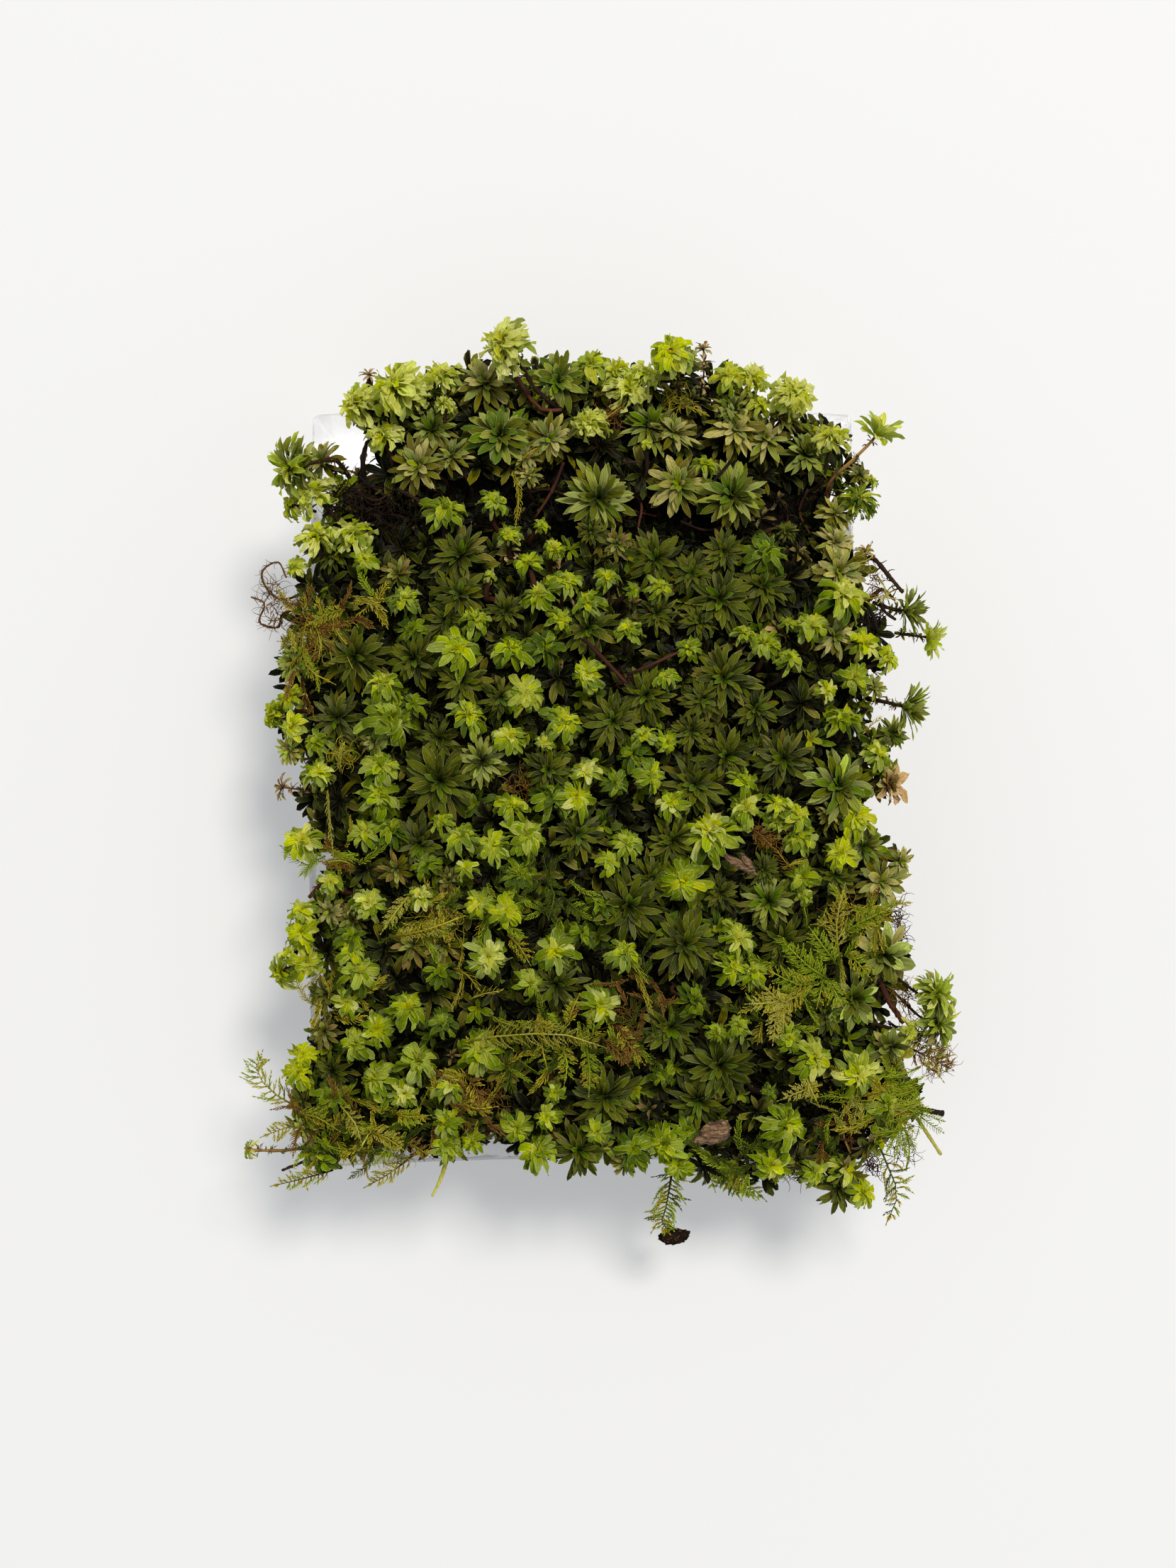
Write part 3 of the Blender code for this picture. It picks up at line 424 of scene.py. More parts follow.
def plasticFinish():  # thin clear tray: lets shadow rays by, so light reaches what it holds
    finish, place, shader = newFinish("clearPlastic", {"Base Color": (0.93, 0.94, 0.96, 1),
                                      "Transmission Weight": 1.0, "IOR": 1.49})
    here = place("ShaderNodeTexCoord", out=3)
    haze = cloud(place, here, 90.0, 4.0)
    scratch = cloud(place, place("ShaderNodeMapping", {0: here, 3: (60.0, 900.0, 900.0)}), 1.0, 3.0)
    connect(finish, fade(place, haze, 0.35, 0.75, 0.0, 0.012), shader, "Roughness")
    relief(finish, place, shader, sums(place, "MULTIPLY_ADD", scratch, 0.3, haze), 0.000004)
    clear = place("ShaderNodeBsdfTransparent", {"Color": (0.985, 0.987, 0.99, 1)})
    shadowRay = place("ShaderNodeLightPath", out=1)
    mixOut(finish, place, sums(place, "MAXIMUM", shadowRay, 0.28), shader, clear)
    return finish


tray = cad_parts["tray"]
tray.data.materials.clear()
tray.data.materials.append(plasticFinish())

floorMesh = bmesh.new()
bmesh.ops.create_grid(floorMesh, x_segments=1, y_segments=1, size=3.0)
bmesh.ops.translate(floorMesh, vec=(0, 0, -0.0002), verts=floorMesh.verts)
floorData = bpy.data.meshes.new("floor")
floorMesh.to_mesh(floorData)
floorMesh.free()
floor = bpy.data.objects.new("floor", floorData)
bpy.context.scene.collection.objects.link(floor)
paleFloor = {"Base Color": (*studio["floor"], 1), "Emission Color": (0.99, 1.0, 1.0, 1),
             "Emission Strength": studio["floorGlow"], "Roughness": 0.75, "Specular IOR Level": 0.15}
floorData.materials.append(newFinish("paleFloor", paleFloor)[0])


def placePiece(name, mesh, slot, *replaced):
    mesh.polygons.foreach_set("use_smooth", [True] * len(mesh.polygons))
    mesh.update()
    piece = bpy.data.objects.new(name, mesh)
    bpy.context.scene.collection.objects.link(piece)
    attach(piece, "root")
    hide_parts(*replaced)
    print(name, sum(len(face.vertices) - 2 for face in mesh.polygons), "triangles")


def placeSolid(name, bm, finish, slot, node):
    mesh = bpy.data.meshes.new(name)
    bm.to_mesh(mesh)
    bm.free()
    mesh.materials.append(finish)
    placePiece(name, mesh, slot, node)


def addPiece(name, groups, slot, node):  # one mesh of many small repeats, with their finishes
    mesh = bpy.data.meshes.new(name)
    points, faces, places, finishes = [], [], [], []
    shift = 0
    for index, (groupPoints, groupFaces, groupPlaces, finish) in enumerate(groups):
        points.append(groupPoints)
        faces += (groupFaces + shift).tolist()
        places.append(groupPlaces)
        finishes += [index] * len(groupFaces)
        shift += len(groupPoints)
        mesh.materials.append(finish)
    mesh.from_pydata(np.concatenate(points).tolist(), [], faces)
    mesh.polygons.foreach_set("material_index", finishes)
    layer = mesh.uv_layers.new(name="OFBake")
    corners = np.empty(len(mesh.loops), np.int32)
    mesh.loops.foreach_get("vertex_index", corners)
    layer.uv.foreach_set("vector", np.concatenate(places)[corners].astype(np.float32).ravel())
    placePiece(name, mesh, slot, node)


def readGrid(bm):
    bm.verts.ensure_lookup_table()
    points = np.array([v.co for v in bm.verts])
    faces = np.array([[v.index for v in f.verts] for f in bm.faces])
    bm.free()
    return points, faces


def bladeGrid(acrossFaces, alongFaces):
    bm = bmesh.new()
    bmesh.ops.create_grid(bm, x_segments=acrossFaces, y_segments=alongFaces, size=1)
    points, faces = readGrid(bm)
    return points[:, 0], 1 - ((1 - points[:, 1]) / 2) ** 1.35, faces


def repeatFaces(faces, times, step):
    return (faces[None] + np.arange(times)[:, None, None] * step).reshape(-1, faces.shape[1])


def onAtlas(atlas, tone, variant, across, along):  # where a point takes its colour on the map
    edge = atlas["edge"]
    return np.stack([(tone + edge + (1 - 2 * edge) * across) / atlas["across"],
                     (variant + edge + (1 - 2 * edge) * along) / atlas["along"]], 2).reshape(-1, 2)


# What a leaf is made from: its foot, the three axes that it stands on, and its form and colour
leafColumns = ("x", "y", "z", "ax", "ay", "az", "bx", "by", "bz", "cx", "cy", "cz", "bearing", "length",
               "half", "rise", "fall", "keel", "curl", "twist", "sway", "wave", "phase", "tone", "variant")

# Outlines of a moss leaf, a fern moss leaflet and a frilled leaf: half width by the way along
blade = {"along": [0.0, 0.14, 0.34, 0.52, 0.68, 0.82, 0.92, 1.0],
         "width": [0.34, 0.48, 0.72, 0.94, 1.00, 0.93, 0.60, 0.02]}
finger = {"along": [0.0, 0.5, 1.0], "width": [0.80, 1.0, 0.40]}
frill = {"along": [1 - (1 - row / 9) ** 1.35 for row in range(10)],
         "width": [0.36, 0.70, 0.52, 0.98, 0.74, 1.10, 0.78, 0.92, 0.40, 0.03]}


def growLeaves(leaves, finish, acrossFaces, alongFaces, atlas=leafAtlas, shape=blade):
    across, along, faces = bladeGrid(acrossFaces, alongFaces)
    data = np.array(leaves, float)
    value = {name: data[:, i][:, None] for i, name in enumerate(leafColumns)}
    steps = 24  # the blade's bend is summed up from its foot
    angle = value["rise"] + (value["fall"] - value["rise"]) * np.linspace(0, 1, steps + 1)[None, :] ** 1.25
    middle = (angle[:, 1:] + angle[:, :-1]) / 2
    out, up = (np.concatenate([np.zeros((len(data), 1)), np.cumsum(part, 1)], 1) / steps
               for part in (np.cos(middle), np.sin(middle)))
    at = np.clip((along * steps).round().astype(int), 0, steps)
    tilt = angle[:, at]
    width = np.interp(along, shape["along"], shape["width"])[None, :] * value["half"]
    roll = value["twist"] * along[None, :]
    side = across[None, :] * width
    ripple = np.sin(along[None, :] * 10.0 + across[None, :] * 1.9 + value["phase"]) * value["wave"]
    ripple = ripple * np.abs(across)[None, :] ** 1.5 * (0.5 + along[None, :])
    lift = width * (value["keel"] * np.abs(across)[None, :] - value["curl"] * across[None, :] ** 4 + ripple)
    sideways = side * np.cos(roll) - lift * np.sin(roll)
    normal = side * np.sin(roll) + lift * np.cos(roll)
    radial = value["length"] * out[:, at] - normal * np.sin(tilt)
    height = value["length"] * up[:, at] + normal * np.cos(tilt)
    sideways = sideways + value["length"] * value["sway"] * along[None, :] ** 2
    cosine, sine = np.cos(value["bearing"]), np.sin(value["bearing"])
    first = radial * cosine - sideways * sine
    second = radial * sine + sideways * cosine
    points = np.stack([value[c] + value["a" + c] * first + value["b" + c] * second + value["c" + c] * height
                       for c in "xyz"], 2)
    over = points[..., 2] - cushion["crest"] - 0.0015  # nothing stands far above the crest
    points[..., 2] -= np.where(over > 0, over - 0.0028 * np.tanh(over / 0.0035), 0)
    place = onAtlas(atlas, value["tone"], value["variant"], (across[None, :] + 1) / 2, along[None, :])
    return points.reshape(-1, 3), repeatFaces(faces, len(data), len(across)), place, finish


# How each kind of rosette is built, whorl by whorl from the outside in: leaves, reach, rise at the
# foot and at the tip in degrees, half width, tones; all as shares of the rosette's radius
kinds = {
    "D": {"lift": 0.001, "keel": 0.34, "curl": 0.16, "wave": 0.1, "whorls": readTable("""
        16 1.12 12 -26 .106 grey,dark,dark,olive
        14 1 30 -10 .106 grey,dark,grey
        10 .86 46 10 .104 dark,grey,grey
        7 .64 64 36 .086 dark,green,grey""")},
    "S": {"lift": 0.0014, "keel": 0.34, "curl": 0.16, "wave": 0.1, "whorls": readTable("""
        17 1.12 12 -26 .108 sage,grey,olive
        15 1 30 -10 .108 sage,grey,sage
        10 .86 46 10 .108 sage,grey,green
        7 .64 64 36 .09 green,dark""")},
    "G": {"lift": 0.0012, "keel": 0.34, "curl": 0.15, "wave": 0.1, "whorls": readTable("""
        13 1.12 16 -26 .134 green,sage,grey
        11 .98 34 -4 .134 sage,grey,green
        8 .76 52 16 .13 green,grey
        5 .5 68 44 .1 green,dark""")},
    "H": {"lift": 0.0, "keel": 0.4, "curl": 0.1, "wave": 0.2, "loose": 1.4, "whorls": readTable("""
        15 1 20 -6 .1 sage,sage,straw
        15 1.1 38 14 .098 sage,sage,grey
        13 1.1 56 36 .095 grey,sage
        9 .95 72 60 .088 grey,green""")},
    "V": {"lift": 0.0, "keel": 0.4, "curl": 0.08, "wave": 0.3, "loose": 1.3, "whorls": readTable("""
        7 .9 20 -24 .18 pale,
        9 1.15 40 6 .175 pale,white
        8 1.1 58 34 .17 white,pale
        5 .85 74 58 .15 young,white""")},
    "J": {"lift": 0.0, "keel": 0.45, "curl": 0.1, "wave": 0.4, "loose": 1.6, "whorls": readTable("""
        13 1.05 4 -50 .125 pale,sage,pale
        13 1.1 26 -24 .125 pale,sage,straw
        12 1 46 0 .12 pale,sage,white
        9 .8 66 30 .11 pale,fresh""")},
    "C": {"lift": 0.0, "keel": 0.6, "curl": 0.0, "wave": 0.8, "loose": 2.0, "whorls": readTable("""
        16 1 10 -76 .062 green,fresh,green
        18 1.1 34 -60 .064 fresh,green,pale
        18 1.05 56 -40 .066 fresh,green,pale
        12 .85 74 -10 .066 fresh,pale""")},
    "A": {"lift": 0.0, "keel": 0.45, "curl": 0.1, "wave": 0.3, "loose": 1.2, "whorls": readTable("""
        9 1.15 22 -6 .2 tan,tan,tan,straw
        8 1.05 40 14 .2 tan,
        6 .75 58 36 .17 tan,brown
        5 .45 70 50 .14 brown,""")},
    "B": {"lift": 0.003, "keel": 0.5, "curl": 0.08, "wave": 0.34, "loose": 1.5, "whorls": readTable("""
        9 1.08 2 -84 .15 pale,pale,fresh,green
        10 1.04 32 -70 .162 pale,fresh,fresh
        9 .88 56 -56 .178 fresh,young,young
        8 .66 72 -42 .185 young,fresh,young
        6 .46 84 -10 .19 young,fresh,yellow""")},
    "Y": {"lift": 0.0034, "keel": 0.5, "curl": 0.08, "wave": 0.34, "loose": 1.5, "whorls": readTable("""
        9 1.08 2 -84 .155 pale,fresh
        10 1.06 34 -68 .168 fresh,young
        9 .92 58 -52 .185 young,yellow,fresh
        8 .7 74 -38 .19 yellow,young,young
        6 .5 84 -6 .195 yellow,young""")},
    "M": {"lift": 0.002, "keel": 0.48, "curl": 0.1, "wave": 0.3, "loose": 1.4, "whorls": readTable("""
        10 1.08 4 -80 .145 green,fresh,dark
        10 1.04 34 -62 .158 green,fresh,green
        8 .84 58 -48 .175 fresh,green
        7 .6 76 -24 .18 fresh,green,fresh""")},
    "P": {"lift": 0.0028, "keel": 0.48, "curl": 0.08, "wave": 0.34, "loose": 1.5, "whorls": readTable("""
        10 1.08 4 -82 .15 pale,sage,pale
        10 1.06 36 -64 .162 pale,fresh,fresh
        9 .88 58 -48 .18 fresh,young,white
        7 .62 76 -20 .185 young,yellow""")},
    "W": {"lift": 0.0032, "keel": 0.5, "curl": 0.06, "wave": 0.36, "loose": 1.6, "whorls": readTable("""
        10 1.1 0 -84 .155 pale,fresh,green
        11 1.1 34 -66 .165 pale,white,fresh,pale
        10 .96 56 -48 .175 pale,white,young,fresh
        8 .76 72 -26 .18 yellow,white
        6 .54 84 0 .185 yellow,white""")},
    "F": {"lift": 0.0034, "keel": 0.7, "curl": 0.0, "wave": 0.75, "loose": 2.2, "whorls": readTable("""
        13 1.12 0 -76 .135 white,pale,sage
        13 1.08 34 -56 .14 white,pale,white
        11 .94 56 -38 .15 white,white,young
        9 .74 74 -16 .15 yellow,white
        6 .52 84 10 .15 yellow,white""")},
    "K": {"lift": 0.0016, "keel": 0.3, "curl": 0.14, "wave": 0.14, "whorls": readTable("""
        10 1.08 12 -26 .185 sage,sage,straw
        9 1 30 -8 .19 sage,sage,grey
        7 .82 48 14 .165 sage,grey
        5 .56 66 40 .12 grey,dark""")},
    "O": {"lift": 0.0006, "keel": 0.32, "curl": 0.22, "wave": 0.14, "whorls": readTable("""
        13 1.08 12 -28 .126 olive,brown,dark,grey
        11 .96 30 -10 .126 olive,grey,brown
        7 .76 50 12 .12 sage,olive
        4 .52 70 44 .09 sage,olive""")},
    "E": {"lift": 0.001, "keel": 0.34, "curl": 0.18, "wave": 0.16, "whorls": readTable("""
        13 1.1 12 -28 .118 straw,olive,olive
        11 .98 30 -10 .118 sage,straw,olive
        7 .78 50 12 .12 sage,straw
        4 .54 70 44 .09 sage,fresh,straw""")},
    "X": {"lift": 0.0, "keel": 0.65, "curl": 0.0, "wave": 0.35, "whorls": readTable("""
        9 1.12 20 -50 .15 brown,shade,shade
        8 1.02 45 -20 .14 brown,shade
        5 .8 66 20 .11 brown,dark""")},
    "N": {"lift": 0.0, "keel": 0.34, "curl": 0.15, "wave": 0.1, "whorls": readTable("""
        8 1.06 22 -22 .15 shade,shade,shade,dark
        6 .84 44 6 .14 shade,""")},
    "T": {"lift": 0.0006, "keel": 0.65, "curl": 0.0, "wave": 0.35, "whorls": readTable("""
        9 1.12 20 -50 .15 tan,straw,tan
        8 1.02 45 -20 .14 tan,straw,brown
        5 .8 66 20 .11 brown,tan""")},
    "U": {"lift": 0.0, "keel": 0.34, "curl": 0.15, "wave": 0.1, "whorls": readTable("""
        8 1.06 22 -22 .15 shade,shade,dark,olive
        6 .84 44 6 .14 dark,shade,shade""")},
    "L": {"lift": 0.0, "keel": 0.4, "curl": 0.12, "wave": 0.16, "whorls": readTable("""
        7 1.1 10 -50 .17 green,fresh,dark,olive
        6 1 42 -16 .17 fresh,green,dark
        4 .8 66 26 .14 fresh,young""")},
}


# Painted light: the next tone up, for crowns that stand in the light
paintedLightTone = {"shade": "dark", "dark": "grey", "grey": "sage", "green": "sage", "sage": "pale", "pale": "white",
           "fresh": "young", "young": "yellow", "olive": "straw"}


def addRosette(leaves, centre, aim, radius, kind, chance, fullness=1.0, lit=0.0):
    turn = aim.to_track_quat("Z", "Y").to_matrix()
    axes = [c for column in turn.col for c in column]
    shape = kinds[kind]
    loose = shape.get("loose", 1.0)
    variant = draw(chance, leafAtlas["along"])
    offset = chance.uniform(0, 6.283)
    for number, lengthShare, rise, fall, half, colours in shape["whorls"]:
        count = max(3, round(number * fullness))
        offset += math.pi / count + jitter(chance, 0.2)
        for index in range(count):
            spread = chance.uniform(-1, 1, 8)
            start = math.radians(rise + 9 * loose * spread[0])
            end = math.radians(fall + 14 * loose * spread[1])
            length = radius * lengthShare * (1 + 0.17 * spread[2])
            colour = pick(chance, colours)
            # Painted light: a share of the leaves take the next tone up
            if chance.uniform() < lit:
                colour = paintedLightTone.get(colour, colour)
            tone = toneNames.index(colour)
            own = variant if spread[3] > 0 else draw(chance, leafAtlas["along"])
            leaves.append((*centre, *axes, offset + 6.283 * index / count + 0.20 * loose * spread[4],
                           length, radius * half * (1 + 0.20 * spread[5]), start, end,
                           shape["keel"], shape["curl"], 0.8 * loose * spread[6], 0.22 * loose * spread[7],
                           shape["wave"], 3 * spread[3], tone, own))


print("rosettes")
# Rosettes as read from the photograph: across, down, width and kind. Old ones are D dark, G grey green,
# S sage, K broad, O olive, E straw, U and N in shade; young ones are B bright, Y yellow, M green, P pale,
# W whitish, F frilled, L low; T and X are dried. Only shoots have H, V, J, C and A
rosettes = readTable("""
    684 534 86 O; 620 527 54 B; 627 566 32 B; 580 562 46 B; 520 527 26 T; 540 610 54 B; 787 533 76 G
    833 511 54 Y; 868 520 40 B; 888 547 60 P; 912 526 46 B; 970 502 36 G; 1030 526 50 Y; 1062 530 56 B
    1072 566 40 Y; 1036 574 58 D; 1108 585 52 O; 1173 612 54 B; 705 608 92 G; 608 603 62 D; 587 655 78 O
    634 640 60 O; 830 592 54 B; 777 617 66 O; 741 644 40 O; 922 597 80 D; 910 625 18 Y; 952 605 66 O
    1040 602 76 O; 1083 615 72 O; 1140 638 70 G; 1216 666 40 O; 1232 676 24 B; 450 648 62 O; 437 694 60 F
    445 752 54 F; 496 750 62 F; 470 779 50 D; 516 788 40 B; 630 715 62 B; 697 704 44 B; 646 780 80 D
    745 668 40 O; 845 702 92 D; 957 682 86 O; 996 652 36 B; 1036 695 92 D; 1180 722 50 E; 1110 747 32 D
    1180 762 54 E; 1083 777 66 M; 1127 778 44 X; 1222 776 30 T; 766 740 24 B; 716 752 36 B; 782 772 32 Y
    745 791 38 Y; 835 748 40 D; 870 766 46 O; 927 789 76 D; 1022 777 56 D; 975 807 58 D; 560 806 50 O
    648 836 76 D; 628 874 70 D; 570 842 48 B; 582 885 44 M; 671 871 48 B; 647 912 72 B; 722 912 62 B
    770 912 56 M; 715 862 50 D; 692 811 22 W; 760 835 50 P; 800 817 46 B; 780 822 32 Y; 830 847 48 B
    792 872 40 B; 828 886 76 D; 857 812 38 P; 887 884 40 P; 932 827 40 B; 927 866 52 D; 895 832 26 B
    1017 842 90 D; 987 874 50 D; 1081 825 74 D; 1190 837 80 W; 1186 806 78 E; 1145 880 52 Y; 1112 877 26 B
    1080 905 50 B; 1050 890 36 B; 1115 926 42 B; 972 912 38 B; 940 952 36 B; 827 950 52 Y; 742 977 56 Y
    797 1015 58 B; 718 1036 52 P; 767 1047 30 P; 497 928 94 D; 582 930 76 D; 472 1012 74 D; 540 962 50 Y
    556 1012 84 B; 582 990 46 M; 525 1042 46 O; 663 1006 56 B; 407 982 42 B; 410 1024 46 Y; 446 1043 46 B
    405 1058 44 E; 448 1088 48 P; 539 1078 58 B; 537 1120 60 B; 621 1103 100 D; 679 1072 62 S; 412 935 46 S
    652 960 70 D; 617 1042 58 D; 707 985 56 D; 910 980 76 D; 865 1017 74 D; 907 1035 42 B; 942 1047 38 B
    892 1062 50 M; 827 1086 42 W; 920 1093 50 B; 870 1103 44 M; 982 1106 88 D; 817 1125 62 P; 945 1131 48 P
    1020 955 88 D; 992 987 58 D; 1025 1068 74 D; 977 1032 58 D; 1205 955 48 B; 1167 972 32 P; 1192 1010 56 B
    1180 897 60 E; 1220 905 48 P; 1255 926 42 B; 1262 1034 44 S; 1235 970 36 E; 1241 1061 46 P; 1187 1106 94 G
    1105 1072 78 D; 1052 1102 46 B; 1132 990 68 U; 1070 1000 68 D; 782 1122 58 M; 773 1086 60 D; 722 1134 48 Y
    425 1184 56 P; 515 1172 46 P; 552 1168 50 M; 590 1190 76 D; 622 1156 36 B; 650 1178 56 B; 600 1218 42 M
    657 1223 36 P; 632 1242 38 O; 558 1228 50 O; 467 1243 40 P; 520 1272 52 W; 592 1262 44 W; 627 1272 48 O
    675 1272 40 Y; 817 1176 66 D; 950 1187 70 D; 1003 1171 84 W; 966 1243 66 Y; 885 1188 50 B; 860 1214 40 Y
    890 1280 96 D; 922 1240 68 D; 967 1331 90 D; 850 1272 50 M; 822 1315 44 M; 882 1340 52 B; 782 1340 64 P
    690 1350 62 W; 715 1284 52 Y; 750 1385 44 B; 783 1391 74 D; 850 1417 62 P; 982 1412 52 M; 948 1450 76 D
    1012 1455 32 B; 1042 1446 38 B; 1036 1362 56 B; 1063 1368 50 B; 1042 1322 54 P; 732 1231 56 M
    745 1176 64 B; 695 1192 52 B; 1017 1260 50 D; 1052 1138 56 P; 1097 1133 40 Y; 1096 1158 38 P
    1126 1150 52 Y; 1130 1178 50 B; 1175 1148 42 E; 1208 1150 58 Y; 1185 1201 52 Y; 1220 1194 54 S
    1245 1243 76 E; 1272 1216 44 E; 1180 1236 60 D; 1132 1236 50 B; 1135 1260 26 P; 1085 1271 70 S
    1080 1228 46 D; 1105 1328 74 D; 1250 1352 86 K; 1207 1410 80 G; 1170 1431 60 D; 1287 1455 36 P
    425 1282 42 P; 424 1315 50 Y; 462 1286 46 E; 494 1298 50 O; 497 1318 50 M; 495 1341 42 Y; 405 1342 30 P
    432 1358 54 B; 508 1368 60 B; 490 1414 46 P; 456 1403 60 O; 576 1419 58 B; 582 1332 58 O; 622 1334 60 O
    620 1368 50 M; 427 1487 40 Y; 420 1512 46 Y; 455 1456 50 O; 500 1470 56 B; 532 1452 50 P; 527 1520 56 B
    590 1495 62 B; 677 1480 66 Y; 624 1440 46 M; 570 1543 46 W; 630 1582 46 B; 632 1615 48 B; 665 1610 36 B
    470 1545 54 M; 465 1512 50 D; 637 1530 46 P; 485 1612 62 D; 452 1636 50 M; 782 1542 32 P; 770 1575 38 Y
    730 1590 50 B; 757 1622 60 B; 817 1624 76 D; 842 1597 42 B; 855 1552 90 D; 892 1620 58 M; 882 1642 40 E
    937 1615 60 B; 970 1596 50 M; 957 1645 48 B; 1017 1505 102 D; 987 1556 84 D; 935 1517 36 M; 917 1565 44 X
    1115 1465 44 B; 1152 1491 62 W; 1212 1516 74 W; 1260 1481 62 K; 1087 1540 26 M; 1112 1588 74 B
    1255 1558 50 B; 1090 1646 60 P; 1185 1677 70 D; 1196 1648 50 P; 1220 1682 46 B; 1153 1655 46 B
    1070 1570 52 U; 637 1488 26 X; 710 1512 50 O; 424 1596 50 E; 438 1622 46 M; 416 796 34 B
""")

# The leafy mass's outline in the photograph, clockwise from the back left
massOutline = readPoints("""
    505,672 548,640 532,596 500,588 505,548 560,528 640,522 700,520 770,515 850,508 930,515 1000,540 1070,540
    1110,585 1180,600 1196,650 1190,720 1196,790 1228,850 1262,905 1226,970 1240,1040 1252,1100 1220,1160
    1238,1220 1256,1270 1262,1320 1270,1370 1240,1430 1284,1490 1296,1550 1272,1600 1226,1640 1196,1678
    1120,1656 1060,1672 990,1650 900,1632 820,1636 760,1636 690,1618 620,1636 540,1632 470,1640 418,1610
    404,1550 424,1480 458,1430 450,1370 424,1310 452,1250 452,1200 430,1130 412,1060 408,980 416,900 432,850
    440,780 438,730 458,700
""")

# Dark hollows between the crowns: across, down, half widths and depth
hollows = readTable("""
    660 726 .016 .0066 .019; 770 704 .013 .009 .021; 900 726 .0105 .008 .022; 995 746 .013 .0062 .02
    1120 722 .0095 .009 .022; 1082 962 .0066 .01 .02; 698 1566 .0064 .0064 .018; 1146 1540 .006 .005 .017
    545 722 .012 .0066 .014
""")
hollowSpots = [(onDome(a, d), hx, hy, deep) for a, d, hx, hy, deep in hollows]


def hollowDepth(x, y):
    depth = 0.0
    for spot, halfX, halfY, deep in hollowSpots:
        part = ((x - spot.x) / halfX) ** 2 + ((y - spot.y) / halfY) ** 2
        if part < 1:
            depth = max(depth, deep * (1 - part) ** 0.5)
    return depth


def rosetteAim(place, tilt, chance, bias=(0.0, 0.0)):
    lean = Vector((jitter(chance, 1) - bias[0], jitter(chance, 1) - bias[1], 0)) * tilt
    outward = Vector((place.x / 0.080, place.y / 0.100, 0))
    outward *= outward.length ** 3
    return (domeSlope(place.x, place.y) + Vector((0, 0, 0.5)) + lean + outward * 0.55).normalized()


# Pixel lines: behind the first the crowns are painted brighter for the light they stand in, dark ones from the
# next; past the others is the rim, where they get painted light too
lines = {"back": 640, "backDark": 704, "left": 440, "nearRight": 1150, "right": 1200}
crowns = {"size": {"young": 1.12, "old": 1.04}, "tilt": {"flat": 0.42, "round": 0.85}, "bias": (-0.25, -1.0),
          "sink": 0.25, "jitter": 0.0008}
growing = {kind: [] for kind in kinds}
# Painted light: kinds swapped for brighter ones behind the back lines
paintedLightKinds = {"D": "S", "O": "E", "B": "F", "P": "F"}  # those at the back stand in the light
stemTops = []
chance = np.random.default_rng(seeds["rosettes"])
for across, down, wide, kind in rosettes:
    if down < lines["back"] or down < lines["backDark"] and kind in "DO":
        kind = paintedLightKinds.get(kind, kind)
    shape = kinds[kind]
    place = onDome(across, down, shape["lift"] + jitter(chance, crowns["jitter"]))
    radius = wide / 2 * reading["step"] * crowns["size"]["young" if kind in "BYPM" else "old"]
    if kind in "DOGSEKU":
        aim = rosetteAim(place, crowns["tilt"]["flat"], chance)
    else:
        aim = rosetteAim(place, crowns["tilt"]["round"], chance, crowns["bias"])
    fullness = min(1.15, 0.70 + 0.005 * wide)
    left = across < lines["left"]
    # Painted light: crowns at the rim and the back take brighter tones
    edge = (0.75 if left or across > lines["right"] else 0.55 if down < lines["back"]
            else 0.45 if across > lines["nearRight"] else 0.0)
    lit = edge if kind in "FYP" or left else 0.4 * edge if kind in "GBMK" else 0.0
    addRosette(growing[kind], place - aim * radius * crowns["sink"], aim, radius, kind, chance, fullness, lit)
    stemTops.append((place - aim * radius * 0.3, aim, radius))

# Kinds that share a piece, its finish and its slot
sets = {"leaves_dark": ("DGSKU", oldLeaf, "moss_leaves"), "leaves_olive": ("OE", oldLeaf, "moss_leaves"),
        "leaves_bright": ("BYM", youngLeaf, "young_leaves"), "leaves_pale": ("PW", youngLeaf, "young_leaves"),
        "leaves_dried": ("TX", dryLeaf, "dried_leaves")}
# Faces across and along a leaf; those shorter than the split, those of the underlayer, of litter, of
# frilled crowns and of fern moss have fewer
grids = {"split": 0.0037, "long": (4, 5), "short": (2, 4), "under": (2, 4), "litter": (2, 3), "frill": (2, 9),
         "finger": (1, 2)}


def growBySize(leaves, finish):
    length = leafColumns.index("length")
    long = [leaf for leaf in leaves if leaf[length] >= grids["split"]]
    short = [leaf for leaf in leaves if leaf[length] < grids["split"]]
    return [growLeaves(part, finish, *grids[size]) for part, size in ((long, "long"), (short, "short")) if part]


for name, (letters, finish, slot) in sets.items():
    leaves = [leaf for kind in letters for leaf in growing[kind]]
    addPiece(name, growBySize(leaves, finish), slot, "moss_cushion")
addPiece("leaves_frilled", [growLeaves(growing["F"], youngLeaf, *grids["frill"], shape=frill)],
         "young_leaves", "moss_cushion")

print("understorey")
outline = [reach(a, d, 0.042).xy for a, d in massOutline]


def inside(x, y):
    odd = False
    for first, last in zip(outline, outline[1:] + outline[:1]):
        if (first.y > y) != (last.y > y):
            if x < (last.x - first.x) * (y - first.y) / (last.y - first.y) + first.x:
                odd = not odd
    return odd


